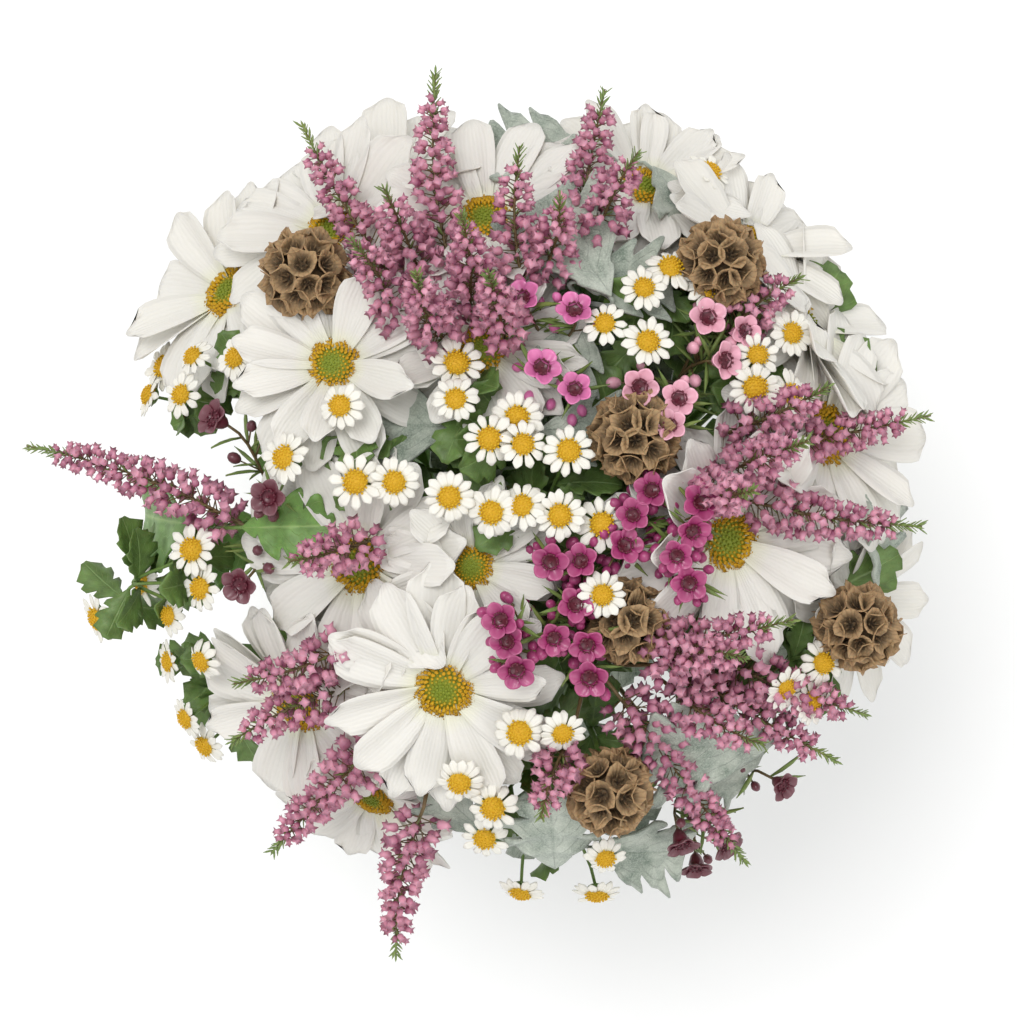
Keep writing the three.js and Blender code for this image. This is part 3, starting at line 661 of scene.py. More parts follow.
def tube(bm, points, thick, thin, sides=8, level_foot=False):
    """A closed tube along the points that thins evenly, its foot cut level if asked."""
    before = None
    for i, point in enumerate(points):
        ahead = points[min(i + 1, len(points) - 1)] - points[max(i - 1, 0)]
        direction = ahead.normalized()
        side = before - direction * before.dot(direction) if before else direction.orthogonal()
        side.normalize()
        before = side
        matrix = Matrix((side, direction.cross(side), direction)).transposed().to_4x4()
        matrix.translation = point
        matrix = matrix @ Matrix.Scale(thick + (thin - thick) * i / (len(points) - 1), 4)
        if i == 0:
            made = bmesh.ops.create_circle(bm, cap_ends=False, segments=sides, radius=1.0, matrix=matrix)
            ring = made["verts"]
            edges = list({edge for vert in ring for edge in vert.link_edges})
            if level_foot:
                for vert in ring:
                    vert.co -= direction * ((vert.co.z - point.z) / direction.z)
            bmesh.ops.edgeloop_fill(bm, edges=edges)
        else:
            made = bmesh.ops.extrude_edge_only(bm, edges=edges)["geom"]
            fresh = {item for item in made if isinstance(item, bmesh.types.BMVert)}
            fresh_edges = [item for item in made if isinstance(item, bmesh.types.BMEdge)]
            edges = [edge for edge in fresh_edges if edge.verts[0] in fresh and edge.verts[1] in fresh]
            bmesh.ops.transform(bm, matrix=matrix @ last.inverted(), verts=list(fresh))
        last = matrix
    bmesh.ops.edgeloop_fill(bm, edges=edges)


def rounded(points, steps):
    """A smooth curve through the points."""
    made = []
    for i in range(len(points) - 1):
        before = points[i - 1] if i else points[0] * 2 - points[1]
        after = points[i + 2] if i + 2 < len(points) else points[-1] * 2 - points[-2]
        first = points[i] + (points[i + 1] - before) / 6
        second = points[i + 1] - (after - points[i]) / 6
        made += interpolate_bezier(points[i], first, second, points[i + 1], steps + 1)[:-1]
    return made + [points[-1]]


def reach_out(start, lead, end, axis, steps):
    """A curve from start, leaving along lead, that arrives at end along axis."""
    pull = (end - start).length * 0.38
    return interpolate_bezier(start, start + lead * pull, end - axis * pull, end, steps + 1)


def rise_of(node):
    """The middle of the stem's cut end on the floor, and the points of its centreline above it."""
    rise = centreline(node)
    foot = rise[0] - (rise[1] - rise[0]) * (rise[0].z / (rise[1].z - rise[0].z))
    return foot, rise


def stem_path(node, end, axis):
    """The stem's centreline, carried on to its one head."""
    foot, rise = rise_of(node)
    keep = [foot] + rise[2:-2:3]
    lead = (keep[-1] - keep[-2]).normalized()
    return rounded(keep, 2) + reach_out(keep[-1], lead, end, axis, 8)[1:]


def main_stem(bm, node, thick, thin):
    """Grows the main stem of a spray; gives its path and the direction in which it ends."""
    foot, rise = rise_of(node)
    path = rounded([foot] + rise[2:-1:3] + [rise[-1]], 2)
    tube(bm, path, thick, thin, 6, level_foot=True)
    return path, (rise[-1] - rise[-3]).normalized()


def finish_piece(bm, node, part, material):
    """Makes the object, rides it on the frame and lets it stand for its node."""
    name = f"{node}_{part}"
    mesh = bpy.data.meshes.new(name)
    bmesh.ops.recalc_face_normals(bm, faces=bm.faces)
    for face in bm.faces:
        face.smooth = True
    bm.to_mesh(mesh)
    bm.free()
    mesh.materials.append(materials()[material])
    made = bpy.data.objects.new(name, mesh)
    bpy.context.scene.collection.objects.link(made)
    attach(made, "root")
    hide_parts(node)


def beside(path, at, turn):
    """A path's direction at one of its points, and the way off it at that turn round it."""
    direction = (path[at + 1] - path[at]).normalized()
    return direction, Matrix.Rotation(turn, 3, direction) @ direction.orthogonal()


def grow_leaf(bm, template, spot, direction, along, size):
    """A leaf or needle at a spot on a stem, running along, its face towards the stem's tip."""
    along = along.normalized()
    face = (direction - along * direction.dot(along)).normalized()
    add(bm, template, standing(spot, face, along, scale=size))


def foliage_up(bm, path, leaves, count, sizes, rng):
    """Leaves up the top of a stem, one after the other round it, each leaning outwards."""
    free = [i for i, point in enumerate(path[:-1]) if point.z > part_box("twine_binding")[1].z + BARE_STEM]
    turn = rng.uniform(0, 6)
    for i in range(count):
        at = free[i * len(free) // count]
        turn += GOLDEN_ANGLE
        direction, away = beside(path, at, turn)
        outward = Vector((path[at].x, path[at].y, 0)).normalized()
        along = away + outward * 0.3 + direction * 0.9
        grow_leaf(bm, rng.choice(leaves), path[at], direction, along, rng.uniform(*sizes))


def discard(*templates):
    for template in templates:
        bpy.data.meshes.remove(template)


# ---------------- eyes and calyxes


def open_floret():
    """A tiny star-mouthed tube, one unit tall."""
    bm = new_shape()
    bmesh.ops.create_cone(bm, cap_ends=True, segments=5, radius1=0.24, radius2=0.5, depth=1.0, calc_uvs=True)
    bmesh.ops.translate(bm, verts=bm.verts, vec=(0, 0, 0.5))
    top = [face for face in bm.faces if face.calc_center_median().z > 0.9]
    bmesh.ops.inset_region(bm, faces=top, thickness=0.16)
    bmesh.ops.translate(bm, verts=list({v for f in top for v in f.verts}), vec=(0, 0, -0.28))
    chart(bm.faces, bm.loops.layers.uv.active, lambda co: (0.5, max(0.0, co.z)))
    return as_template(bm, "open_floret")


def closed_floret():
    """A rounded bud, one unit tall."""
    bm = new_shape()
    bmesh.ops.create_icosphere(bm, subdivisions=1, radius=0.42)
    bmesh.ops.scale(bm, vec=(1, 1, 1.25), verts=bm.verts)
    bmesh.ops.translate(bm, verts=bm.verts, vec=(0, 0, 0.42))
    chart(bm.faces, bm.loops.layers.uv.active, lambda co: (0.5, max(0.0, min(1.0, co.z))))
    return as_template(bm, "closed_floret")


NONE_OPEN = 2.0  # further out than any floret of an eye, whose radius is 1


def add_eye(bm, head, radius, height, count, florets, open_from, rng):
    """A low dome packed with florets in a spiral; those outside open_from are open."""
    foot = bmesh.ops.create_uvsphere(bm, u_segments=18, v_segments=8, radius=1.0)["verts"]
    domed = head @ Matrix.Diagonal((radius * 0.97, radius * 0.97, height, 1))
    bmesh.ops.transform(bm, matrix=domed, verts=foot)
    open_one, closed_one = florets
    size = radius * math.sqrt(math.pi / count) * 1.05
    for i in range(count):
        share = math.sqrt((i + 0.5) / count)
        turn = i * GOLDEN_ANGLE
        place = Vector((share * radius * math.cos(turn), share * radius * math.sin(turn), 0))
        place.z = height * math.sqrt(max(0.0, 1 - share * share * 0.92)) - size * 0.25
        normal = Vector((place.x / radius, place.y / radius, 0.9)).normalized()
        opened = share > open_from
        tall = size * (1.5 if opened else 0.9) * rng.uniform(0.85, 1.15)
        wide = size * (1.0 if opened else 0.95)
        local = standing(place, normal, roll=rng.uniform(0, 3)) @ Matrix.Diagonal((wide, wide, tall, 1))
        add(bm, open_one if opened else closed_one, head @ local, across=share)


def add_calyx(bm, head, bract, radius, depth, count):
    """The green cup under a daisy head: a bowl with two rows of scales."""
    bowl = bmesh.ops.create_uvsphere(bm, u_segments=16, v_segments=8, radius=1.0)["verts"]
    sunk = head @ shifted(0, 0, -depth * 0.35)
    bowed = sunk @ Matrix.Diagonal((radius * 0.93, radius * 0.93, depth * 0.65, 1))
    bmesh.ops.transform(bm, matrix=bowed, verts=bowl)
    for row in range(2):
        for i in range(count):
            turn = (i + row / 2) * 2 * math.pi / count
            lean = math.radians(-52 + row * 26)
            foot = pitched(turn, "Z") @ shifted(0, radius * (0.35 + row * 0.2), -depth * (0.95 - row * 0.2))
            add(bm, bract, head @ foot @ pitched(-lean) @ Matrix.Scale(radius * 0.78, 4))


def bract_template():
    return as_template(blade(1.0, 0.5, lance_outline, rows=4, columns=2, thickness=0.05, cup=0.5), "bract")


# ---------------- chrysanthemums


MIDDLING_HEAD = 40 * MM  # radius of a chrysanthemum of middling size


class BOUQUET_OT_chrysanthemums(bpy.types.Operator):
    """Grow the white daisy chrysanthemums: petals, eye, calyx, leaves and stem"""

    bl_idname = "bouquet.chrysanthemums"
    bl_label = "Chrysanthemums"

    def petals(self, sizes):
        """Petals that differ a little, a unit long, as broad as on a head of middling size."""
        rng = random.Random(11)
        return [
            as_template(
                blade(
                    1.0, sizes.petal_width / MIDDLING_HEAD * rng.uniform(0.88, 1.1), daisy_outline,
                    rows=9, columns=6, thickness=sizes.petal_thickness / MIDDLING_HEAD,
                    cup=rng.uniform(0.15, 0.5), bend=rng.uniform(-0.6, 0.3), ripple=rng.uniform(0.012, 0.028),
                    blunt=rng.uniform(0.05, 0.12), sway=rng.uniform(-0.04, 0.04),
                ),
                f"petal_{i}",
            )
            for i in range(10)
        ]

    def ray(self, head, petals, reach, sizes, rng):
        """The petals of one head, in two rows."""
        lower = sizes.petal_count // 2 + 1
        rows = ((lower, 6, 0.9, 0.9 * MM), (sizes.petal_count - lower, 16, 0.84, 1.9 * MM))
        bm = new_shape()
        for row, (count, rise, share, lift) in enumerate(rows):
            for i in range(count):
                turn = (i + 0.5 * row + rng.uniform(-0.2, 0.2)) * 2 * math.pi / count
                pitch = math.radians(rise + rng.uniform(-7, 9))
                grow = reach * share * rng.uniform(0.92, 1.06)
                foot = pitched(turn, "Z") @ shifted(0, reach * 0.13, lift + rng.uniform(-0.4, 0.4) * MM)
                twist = pitched(math.radians(rng.uniform(-14, 14)), "Y")
                local = foot @ pitched(pitch) @ twist @ Matrix.Scale(grow, 4)
                add(bm, rng.choice(petals), head @ local)
        return bm

    def execute(self, context):
        sizes = context.scene.bouquet_sizes
        petals = self.petals(sizes)
        florets = open_floret(), closed_floret()
        bract = bract_template()
        leaves = [
            leaf_template(
                f"leaf_{i}", 0.6, lobed(3.4, 0.42), i, rows=13, columns=6, thickness=0.014, bend=-0.7
            )
            for i in range(4)
        ]
        for node in family("chrysanthemum"):
            rng = random.Random(node)
            centre, axis, flat = max(flats(node), key=lambda found: found[2])
            reach = flat / HEAD_SHARE
            head = standing(centre - axis * 3 * MM, axis)
            finish_piece(self.ray(head, petals, reach, sizes, rng), node, "petals", "petal")
            eye, green, foliage = new_shape(), new_shape(), new_shape()
            raised = head @ shifted(0, 0, 0.8 * MM)
            add_eye(eye, raised, reach * 0.24, 3.8 * MM, sizes.disc_florets, florets, 0.52, rng)
            add_calyx(green, head, bract, reach * 0.26, 7 * MM, 10)
            path = stem_path(node, centre - axis * 8 * MM, axis)
            tube(green, path, sizes.chrysanthemum_stem, sizes.chrysanthemum_stem * 0.8, level_foot=True)
            foliage_up(foliage, path[:-3], leaves, LEAVES_UP_A_STEM, (30 * MM, 42 * MM), rng)
            finish_piece(eye, node, "eye", "eye")
            finish_piece(green, node, "stem", "stem")
            finish_piece(foliage, node, "leaves", "leaf")
        discard(*petals, *florets, bract, *leaves)
        return {"FINISHED"}


# ---------------- heather


# Shares of a spike's length
SPIKE_START = 0.05  # where its bells begin
LAST_BELL = 0.84  # where they end
NEEDLES_ONLY = 0.78  # where its tip of needles begins
SPIKE_END = 0.985
BELLS_TO_A_NEEDLE = 6  # lower down, a needle grows beside every sixth bell


class BOUQUET_OT_heather(bpy.types.Operator):
    """Grow the heather: woody stems with spikes of bells and a green tip"""

    bl_idname = "bouquet.heather"
    bl_label = "Heather"

    def bell(self):
        """An urn-shaped bell, one unit long, its mouth away from the origin, spun from its outline."""
        bm = new_shape()
        spun(bm, [(0.0, 0.0), (0.32, 0.12), (0.38, 0.4), (0.26, 0.72), (0.42, 1.0), (0.0, 0.6)], 8)
        for vert in (v for v in bm.verts if v.co.z > 0.95):
            lobe = 1 + 0.28 * math.cos(4 * math.atan2(vert.co.y, vert.co.x))
            vert.co = Vector((vert.co.x * lobe, vert.co.y * lobe, vert.co.z + 0.3 * (lobe - 1)))
        chart(bm.faces, bm.loops.layers.uv.active, lambda co: (0.5, co.z))
        return as_template(bm, "bell")

    def spike(self, parts, bells, greens, path, sizes, rng):
        """Bells on stalks up the path, smaller and closer towards a tip of green needles."""
        bell, needle, woods = parts
        length = sum((b - a).length for a, b in zip(path, path[1:]))
        walked, turn, i = length * SPIKE_START, rng.uniform(0, 6), 0
        while walked < length * SPIKE_END:
            share = walked / length
            place, direction = point_on(path, walked)
            turn += GOLDEN_ANGLE + rng.uniform(-0.3, 0.3)
            out = Matrix.Rotation(turn, 3, direction) @ direction.orthogonal().normalized()
            fade = 1 - max(0.0, share - 0.12) / 0.88
            stalk = (1.4 + 5.4 * fade ** 0.9 * min(1.0, 0.6 + share * 4)) * MM * rng.uniform(0.7, 1.2)
            size = sizes.bell * (0.42 + 0.58 * fade ** 0.6) * rng.uniform(0.85, 1.12)
            lean = (out + direction * rng.uniform(0.15, 0.75)).normalized()
            if share < LAST_BELL:
                end = place + lean * stalk
                tube(woods, [place, end], 0.28 * MM, 0.22 * MM, 3)
                hang = (lean + out * 0.4 - direction * rng.uniform(0.0, 0.5)).normalized()
                hung = standing(end - hang * 0.3 * MM, hang, roll=rng.uniform(0, 6), scale=size)
                add(bells, bell, hung, across=rng.uniform(0.1, 1))
            if i % BELLS_TO_A_NEEDLE == 0 or share > NEEDLES_ONLY:
                grow_leaf(greens, needle, place, direction, out * 0.7 + direction, rng.uniform(2.6, 4.6) * MM)
            walked += sizes.bell_spacing * (1.0 if share < LAST_BELL else 0.8)
            i += 1

    def execute(self, context):
        sizes = context.scene.bouquet_sizes
        bell = self.bell()
        needle = as_template(blade(1.0, 0.22, lance_outline, rows=3, columns=2, thickness=0.07), "needle")
        for node in family("heather"):
            rng = random.Random(node)
            bells, greens, woods = new_shape(), new_shape(), new_shape()
            rise, lead = main_stem(woods, node, sizes.thin_stem, sizes.thin_stem * 0.85)
            for tip, axis, flat in flats(node):
                length = flat / SPIKE_SHARE
                foot = tip - axis * length
                low = reach_out(rise[-1], lead, foot, axis, 6)
                bend = axis.cross(UP).normalized() * rng.uniform(-0.06, 0.06) * length + UP * 0.03 * length
                spike = [foot.lerp(tip, t / 10) + bend * math.sin(math.pi * t / 10) for t in range(11)]
                tube(woods, low + spike[1:], sizes.thin_stem * 0.8, 0.3 * MM, 5)
                self.spike((bell, needle, woods), bells, greens, spike, sizes, rng)
            finish_piece(bells, node, "bells", "bell")
            finish_piece(greens, node, "needles", "needle")
            finish_piece(woods, node, "stem", "wood")
        discard(bell, needle)
        return {"FINISHED"}


def point_on(path, walked):
    """The point and direction that far along a path."""
    for low, high in zip(path, path[1:]):
        step = (high - low).length
        if walked <= step:
            return low.lerp(high, walked / step), (high - low).normalized()
        walked -= step
    return path[-1], (path[-1] - path[-2]).normalized()


# ---------------- feverfew


class BOUQUET_OT_feverfew(bpy.types.Operator):
    """Grow the feverfew: sprays of small white daisies with golden eyes"""

    bl_idname = "bouquet.feverfew"
    bl_label = "Feverfew"

    def execute(self, context):
        sizes = context.scene.bouquet_sizes
        rng = random.Random(5)
        reach = sizes.feverfew_reach
        petals = [
            as_template(
                blade(
                    1.0, rng.uniform(0.5, 0.6), daisy_outline, rows=4, columns=4, thickness=0.05,
                    cup=rng.uniform(-0.2, 0.3), bend=rng.uniform(-0.6, 0.1), ripple=0.03, blunt=0.08,
                ),
                f"small_petal_{i}",
            )
            for i in range(5)
        ]
        florets = open_floret(), closed_floret()
        bract = bract_template()
        leaf = leaf_template(
            "feverfew_leaf", 0.62, lobed(4.2, 0.6), 3, rows=14, columns=4, thickness=0.016
        )
        for node in family("feverfew"):
            rng = random.Random(node)
            white, gold, green, foliage = new_shape(), new_shape(), new_shape(), new_shape()
            rise, lead = main_stem(green, node, sizes.thin_stem, sizes.thin_stem * 0.8)
            for centre, axis, _ in flats(node):
                facing = (axis + Vector([rng.uniform(-0.25, 0.25) for _ in range(3)])).normalized()
                grown = rng.uniform(0.84, 1.06)
                head = standing(centre - axis * 2.2 * MM, facing, roll=rng.uniform(0, 6), scale=grown)
                self.ray(white, head, petals, reach, rng)
                dome = rng.uniform(2.2, 3.4) * MM
                raised = head @ shifted(0, 0, 0.5 * MM)
                add_eye(gold, raised, reach * 0.43, dome, 46, florets, NONE_OPEN, rng)
                add_calyx(green, head, bract, reach * 0.42, 3.2 * MM, 8)
                twig = reach_out(rise[-1], lead, centre - axis * 4.5 * MM, axis, 8)
                tube(green, twig, sizes.twig * 1.2, sizes.twig, 5)
                for at in (2, 4, 5):
                    direction, away = beside(twig, at, rng.uniform(0, 6))
                    along = away + direction * 0.9
                    grow_leaf(foliage, leaf, twig[at], direction, along, rng.uniform(14, 24) * MM)
            finish_piece(white, node, "petals", "small_petal")
            finish_piece(gold, node, "eyes", "small_eye")
            finish_piece(green, node, "stems", "stem")
            finish_piece(foliage, node, "leaves", "leaf")
        discard(*petals, *florets, bract, leaf)
        return {"FINISHED"}

    def ray(self, bm, head, petals, reach, rng):
        """The petals of one head, level or drooping."""
        count = rng.randint(11, 14)
        droop = rng.uniform(-26, 10)
        for i in range(count):
            turn = (i + rng.uniform(-0.15, 0.15)) * 2 * math.pi / count
            foot = pitched(turn, "Z") @ shifted(0, reach * 0.35, 0.7 * MM + (i % 2) * 0.25 * MM)
            pitch = pitched(math.radians(droop + rng.uniform(-8, 10)))
            size = Matrix.Scale(reach * 0.64 * rng.uniform(0.88, 1.06), 4)
            add(bm, rng.choice(petals), head @ foot @ pitch @ size)


# ---------------- waxflower

# One for each spray of waxflower in the frame
WAX_TINTS = ("wax_pink", "wax_pale", "wax_deep", "wax_deep", "wax_wine", "wax_wine")


class BOUQUET_OT_waxflower(bpy.types.Operator):
    """Grow the waxflower: five round petals about a dark cup, on needled twigs"""

    bl_idname = "bouquet.waxflower"
    bl_label = "Waxflower"

    def flower(self):
        """One flower, a unit in radius, facing +Z; v runs out from its middle."""
        bm = new_shape()
        petal = as_template(
            blade(
                0.72, 0.84, round_outline, rows=6, columns=4, thickness=0.045, cup=0.55, bend=0.55, blunt=0.12
            ),
            "wax_petal",
        )
        for item in petal.uv_layers[0].uv:
            item.vector = (item.vector[0], 0.42 + 0.58 * item.vector[1])
        for i in range(5):
            turned = pitched(i * 2 * math.pi / 5, "Z")
            add(bm, petal, turned @ shifted(0, 0.3, (i % 2) * 0.03) @ pitched(0.15))
        discard(petal)
        lip = [(0.0, 0.02), (0.3, 0.0), (0.42, 0.16), (0.34, 0.2), (0.42, -0.1)]
        spun(bm, lip + [(0.3, -0.5), (0.12, -0.72), (0.0, -0.74)], 12)
        for i in range(10):
            turn = i * math.pi / 5
            anther = Matrix.Translation((0.36 * math.cos(turn), 0.36 * math.sin(turn), 0.26))
            bmesh.ops.create_icosphere(bm, subdivisions=1, radius=0.07, matrix=anther)
        bmesh.ops.create_icosphere(bm, subdivisions=1, radius=0.08, matrix=Matrix.Translation((0, 0, 0.2)))
        layer = bm.loops.layers.uv.active
        cup = [face for face in bm.faces if all(loop[layer].uv.length < 1e-6 for loop in face.loops)]
        chart(cup, layer, lambda co: (0.5, 0.55 if co.z < -0.05 else co.xy.length * 0.5 + 0.001))
        return as_template(bm, "waxflower")

    def execute(self, context):
        sizes = context.scene.bouquet_sizes
        flower = self.flower()
        needle = as_template(
            blade(1.0, 0.1, lance_outline, rows=3, columns=2, thickness=0.05, bend=-0.4), "wax_needle"
        )
        for node, tint in zip(family("waxflower"), WAX_TINTS, strict=True):
            rng = random.Random(node)
            pink, woods, greens = new_shape(), new_shape(), new_shape()
            rise, lead = main_stem(woods, node, sizes.thin_stem, sizes.thin_stem * 0.8)
            for centre, axis, _ in flats(node):
                size = sizes.waxflower_reach * rng.uniform(0.88, 1.06)
                tilt = (axis + Vector([rng.uniform(-0.3, 0.3) for _ in range(3)])).normalized()
                add(pink, flower, standing(centre, tilt, roll=rng.uniform(0, 6), scale=size))
                twig = reach_out(rise[-1], lead, centre - tilt * size * 0.7, tilt, 8)
                tube(woods, twig, sizes.twig * 1.2, sizes.twig * 0.9, 5)
                for _ in range(rng.randint(2, 4) + (7 if tint == "wax_deep" else 0)):
                    self.bud(pink, woods, twig, rng)
                for _ in range(9):
                    at = rng.choice((3, 4, 5, 6, 7))
                    direction, away = beside(twig, at, rng.uniform(0, 6))
                    spot = twig[at].lerp(twig[at + 1], rng.random())
                    along = away + direction * 0.9
                    grow_leaf(greens, needle, spot, direction, along, rng.uniform(9, 16) * MM)
            finish_piece(pink, node, "flowers", tint)
            finish_piece(woods, node, "stems", "wood")
            finish_piece(greens, node, "needles", "needle")
        discard(flower, needle)
        return {"FINISHED"}

    def bud(self, pink, woods, twig, rng):
        """A closed bud beside a flower."""
        at = rng.choice((4, 5, 6, 7))
        direction, away = beside(twig, at, rng.uniform(0, 6))
        heading = (away.normalized() * 0.8 + direction).normalized()
        end = twig[at] + heading * rng.uniform(7, 11) * MM
        tube(woods, [twig[at], end], 0.4 * MM, 0.35 * MM, 4)
        ball = bmesh.ops.create_uvsphere(pink, u_segments=8, v_segments=6, radius=1.0)["verts"]
        wide = rng.uniform(1.5, 2.3) * MM
        place = standing(end + heading * wide, heading) @ Matrix.Diagonal((wide, wide, wide * 1.3, 1))
        bmesh.ops.transform(pink, matrix=place, verts=ball)
        faces = {face for vert in ball for face in vert.link_faces}
        chart(faces, pink.loops.layers.uv.active, lambda co: (0.5, 0.7))


# ---------------- starflower pods


CUPS = 40  # on one pod


def round_and_out(co):
    """How far round a cup, and how far from its depth to its rim, a point lies."""
    return math.atan2(co.y, co.x) / (2 * math.pi), max(0.0, min(1.0, (co.xy.length - 0.08) / 0.42))


class BOUQUET_OT_pods(bpy.types.Operator):
    """Grow the starflower pods: balls of papery cups, each with a dark star"""

    bl_idname = "bouquet.pods"
    bl_label = "Starflower pods"

    def cup(self):
        """One funnel of paper, a unit across its rim, opening along +Z, with a star in its depth."""
        bm = new_shape()
        outside = [(0.0, -0.6), (0.16, -0.6), (0.26, -0.3), (0.38, -0.04), (0.53, 0.1)]
        inside = [(0.51, 0.12), (0.34, -0.02), (0.22, -0.26), (0.12, -0.44), (0.0, -0.44)]
        spun(bm, outside + inside, 12)
        for vert in bm.verts:
            turn = math.atan2(vert.co.y, vert.co.x)
            out = vert.co.xy.length
            if out > 0.3:
                swing = math.cos(turn * 8) * 0.3 + math.cos(turn * 3 + 1) * 0.4
                vert.co += Vector((vert.co.x, vert.co.y, 1.0)) * swing * (out - 0.28)
        chart(bm.faces, bm.loops.layers.uv.active, round_and_out)
        awn = as_template(
            blade(0.34, 0.07, lance_outline, rows=3, columns=2, thickness=0.03, bend=0.8), "awn"
        )
        for i in range(5):
            add(bm, awn, pitched(i * 2 * math.pi / 5, "Z") @ shifted(0, 0.02, -0.3) @ pitched(0.5))
        discard(awn)
        return as_template(bm, "paper_cup")

    def ball(self, cup, whole, radius, rng):
        """Cups packed in a spiral over a ball, down to the bare patch about its stem."""
        bm = new_shape()
        core = bmesh.ops.create_icosphere(bm, subdivisions=3, radius=radius * 0.66)["verts"]
        bmesh.ops.translate(bm, verts=core, vec=whole.translation)
        for i in range(CUPS):
            height = 1 - (i + 0.5) * 1.86 / CUPS
            turn = i * GOLDEN_ANGLE
            flat = math.sqrt(max(0.0, 1 - height * height))
            way = Vector((flat * math.cos(turn), flat * math.sin(turn), height))
            way = (way + Vector([rng.uniform(-0.1, 0.1) for _ in range(3)])).normalized()
            size = radius * rng.uniform(0.62, 0.76)
            place = standing(way * radius * rng.uniform(0.87, 0.97), way, roll=rng.uniform(0, 6), scale=size)
            add(bm, cup, whole @ place)
        return bm

    def execute(self, context):
        sizes = context.scene.bouquet_sizes
        radius = sizes.pod_radius
        cup = self.cup()
        leaf = leaf_template("pod_leaf", 0.5, lobed(4.4, 0.5), 5, rows=16, columns=4, thickness=0.014)
        for node in family("starflower_pod"):
            rng = random.Random(node)
            top, axis, _ = max(flats(node), key=lambda found: found[2])
            middle = top - axis * radius * POD_FLAT_HEIGHT
            whole = standing(middle, axis, roll=rng.uniform(0, 6))
            finish_piece(self.ball(cup, whole, radius, rng), node, "cups", "pod")
            green, foliage = new_shape(), new_shape()
            path = stem_path(node, middle - axis * radius * 0.8, axis)
            tube(green, path, sizes.thin_stem * 1.1, sizes.thin_stem, 6, level_foot=True)
            foliage_up(foliage, path[:-3], [leaf], LEAVES_UP_A_STEM, (30 * MM, 44 * MM), rng)
            finish_piece(green, node, "stem", "stem")
            finish_piece(foliage, node, "leaves", "leaf")
        discard(cup, leaf)
        return {"FINISHED"}


# ---------------- leaves


def grow_leaves(kind, templates, low_leaves, material, stem_material_name, sizes):
    """Leaves on the frame's blades, with their stalks, and smaller ones lower down the stem."""
    for node in family(kind):
        rng = random.Random(node)
        leaves, stalks = new_shape(), new_shape()
        rise, lead = main_stem(stalks, node, sizes.thin_stem * 1.3, sizes.thin_stem)
        for centre, axis, flat in flats(node):
            length = flat / BLADE_SHARE
            along = centre - rise[-1]
            along = (along - axis * along.dot(axis)).normalized()
            foot = centre - along * length * 0.5
            add(leaves, rng.choice(templates), standing(foot, axis, along, scale=length))
            stalk = reach_out(rise[-1], lead, foot + along * length * 0.04, along, 8)
            tube(stalks, stalk, sizes.thin_stem * 0.9, sizes.thin_stem * 0.6, 6)
        foliage_up(leaves, rise, low_leaves, 7, (34 * MM, 48 * MM), rng)
        finish_piece(leaves, node, "blades", material)
        finish_piece(stalks, node, "stems", stem_material_name)


class BOUQUET_OT_leaves(bpy.types.Operator):
    """Grow the dusty miller and the cut green leaves"""

    bl_idname = "bouquet.leaves"
    bl_label = "Leaves"

    def execute(self, context):
        sizes = context.scene.bouquet_sizes
        felted = [
            leaf_template(
                f"felt_{i}", 0.86, lobed(3.7, 0.6), i, rows=34, columns=10, thickness=0.03, cup=0.12,
                bend=-0.3, lobes_forward=0.3,
            )
            for i in range(3)
        ]
        low_felt = [
            leaf_template(f"low_felt_{i}", 0.7, lobed(3.2, 0.4), i, rows=16, columns=6, thickness=0.03)
            for i in range(2)
        ]
        green = [
            leaf_template(
                f"cut_leaf_{i}", 0.72, lobed(4.2, 0.68), i + 7, rows=36, columns=8, thickness=0.014, cup=0.2
            )
            for i in range(2)
        ]
        grow_leaves("dusty_miller", felted, low_felt, "felt", "felt", sizes)
        grow_leaves("green_leaf", green, green, "cut_leaf", "stem", sizes)
        discard(*felted, *low_felt, *green)
        return {"FINISHED"}


# ---------------- twine


STEPS_TO_A_TURN = 44
TWISTS_TO_A_TURN = 13


class BOUQUET_OT_twine(bpy.types.Operator):
    """Wind the two-ply jute twine round the stems"""

    bl_idname = "bouquet.twine"
    bl_label = "Twine"

    def execute(self, context):
        strand = context.scene.bouquet_sizes.twine
        low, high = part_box("twine_binding")
        ply = strand * 0.95
        radius = (high.x - low.x) / 2 - 2 * strand - 0.6 * MM
        pitch = 3.7 * strand
        turns = int((high.z - low.z) / pitch) - 1
        middle = (low + high) / 2
        start = Vector((middle.x, middle.y, middle.z - turns * pitch / 2))
        bm = new_shape()
        for side in (0, math.pi):
            points = []
            for i in range(turns * STEPS_TO_A_TURN + 1):
                turn = 2 * math.pi * i / STEPS_TO_A_TURN
                out = Vector((math.cos(turn), math.sin(turn), 0))
                twist = turn * TWISTS_TO_A_TURN + side
                climb = pitch * turn / (2 * math.pi) + ply * math.sin(twist)
                points.append(start + out * (radius + ply * math.cos(twist)) + UP * climb)
            tube(bm, points, strand, strand, 6)
        finish_piece(bm, "twine_binding", "turns", "twine")
        return {"FINISHED"}


# ---------------- stage

CAMERA_DISTANCE = 1.2  # above the middle of the dome
CAMERA_LEVEL = 0.29  # height of the dome's middle
CAMERA_FIELD = 0.3482  # what the taller side of the picture takes in at that level
CAMERA_SHIFT = (-0.0259, -0.0088)  # puts the bunch a little right of and above the middle
SENSOR = 36
FLOOR_SIZE = 6.0
SKY = 0.8
LAMPS = {"window": ((-0.8, 1.0, 3.8), 1.6, 62), "fill": ((2.2, -1.8, 2.8), 2.4, 26)}  # place, side, watts
LIT_POINT = Vector((0, 0, 0.25))


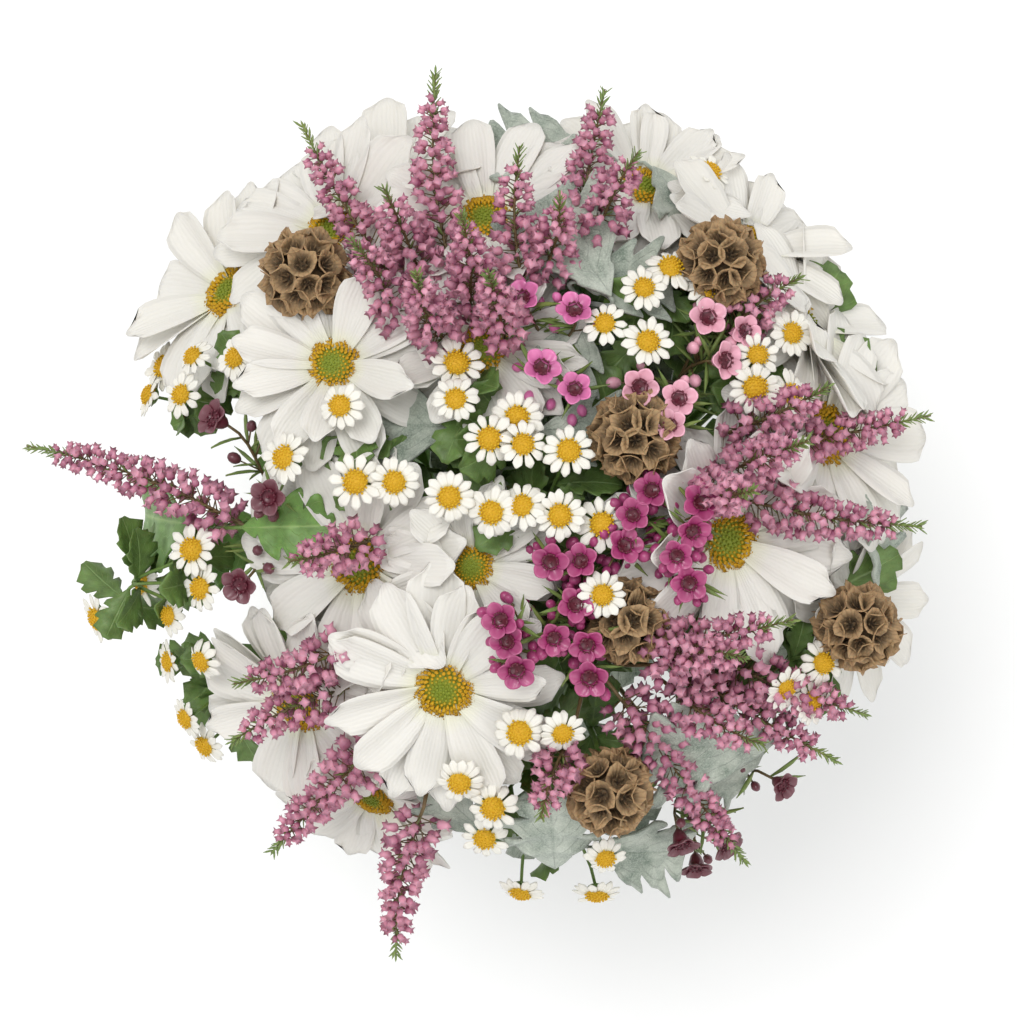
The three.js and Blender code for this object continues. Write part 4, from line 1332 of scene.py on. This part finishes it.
class BOUQUET_OT_stage(bpy.types.Operator):
    """Set up the plain floor, the soft light and the camera over the bunch"""

    bl_idname = "bouquet.stage"
    bl_label = "Stage"

    def lamp(self, name, place, size, energy):
        light = bpy.data.lights.new(name, "AREA")
        light.shape, light.size, light.energy = "SQUARE", size, energy
        made = bpy.data.objects.new(name, light)
        made.location = place
        made.rotation_euler = (LIT_POINT - Vector(place)).to_track_quat("-Z", "Y").to_euler()
        bpy.context.scene.collection.objects.link(made)

    def floor(self, pale):
        bm = new_shape()
        bmesh.ops.create_grid(bm, x_segments=1, y_segments=1, size=FLOOR_SIZE)
        mesh = bpy.data.meshes.new("floor")
        bm.to_mesh(mesh)
        bm.free()
        shade = Shader("plain_floor", 0.9)
        shade.colour(shade.blend(shade.noise(0.4, 2), 0.3, 0.7, pale, scaled(pale, 0.985)))
        mesh.materials.append(shade.material)
        made = bpy.data.objects.new("floor", mesh)
        bpy.context.scene.collection.objects.link(made)

    def execute(self, context):
        self.floor(tuple(context.scene.bouquet_colours.floor))
        world = bpy.data.worlds.new("soft_light")
        context.scene.world = world
        world.use_nodes = True
        sky = world.node_tree.nodes["Background"].inputs
        sky["Color"].default_value = (1.0, 1.0, 1.0, 1)
        sky["Strength"].default_value = SKY
        for name, (place, size, energy) in LAMPS.items():
            self.lamp(name, place, size, energy)
        context.scene.view_settings.view_transform = "Standard"

        low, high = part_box("twine_binding")
        middle = (low + high) / 2
        camera = bpy.data.cameras.new("camera")
        camera.sensor_width = SENSOR
        camera.lens = SENSOR * CAMERA_DISTANCE / CAMERA_FIELD
        camera.shift_x, camera.shift_y = CAMERA_SHIFT
        camera.clip_end = 20
        made = bpy.data.objects.new("camera", camera)
        made.location = (middle.x, middle.y, CAMERA_LEVEL + CAMERA_DISTANCE)
        context.scene.collection.objects.link(made)
        context.scene.camera = made
        return {"FINISHED"}


class BOUQUET_PT_panel(bpy.types.Panel):
    bl_label = "Bouquet"
    bl_idname = "BOUQUET_PT_panel"
    bl_space_type = "VIEW_3D"
    bl_region_type = "UI"
    bl_category = "Bouquet"

    def draw(self, context):
        for group in (context.scene.bouquet_sizes, context.scene.bouquet_colours):
            box = self.layout.box()
            for key in settings_in(group):
                box.prop(group, key)
        for operator in OPERATORS:
            self.layout.operator(operator.bl_idname)


OPERATORS = (
    BOUQUET_OT_stage,
    BOUQUET_OT_chrysanthemums,
    BOUQUET_OT_heather,
    BOUQUET_OT_feverfew,
    BOUQUET_OT_waxflower,
    BOUQUET_OT_pods,
    BOUQUET_OT_leaves,
    BOUQUET_OT_twine,
)
CLASSES = (BouquetSizes, BouquetColours, *OPERATORS, BOUQUET_PT_panel)


def register():
    for made in CLASSES:
        bpy.utils.register_class(made)
    bpy.types.Scene.bouquet_sizes = bpy.props.PointerProperty(type=BouquetSizes)
    bpy.types.Scene.bouquet_colours = bpy.props.PointerProperty(type=BouquetColours)


def unregister():
    del bpy.types.Scene.bouquet_colours
    del bpy.types.Scene.bouquet_sizes
    for made in reversed(CLASSES):
        bpy.utils.unregister_class(made)


def main():
    register()
    for operator in OPERATORS:
        group, name = operator.bl_idname.split(".")
        if getattr(getattr(bpy.ops, group), name)() != {"FINISHED"}:
            raise RuntimeError(f"{operator.bl_label} did not finish")


if __name__ == "__main__":
    main()
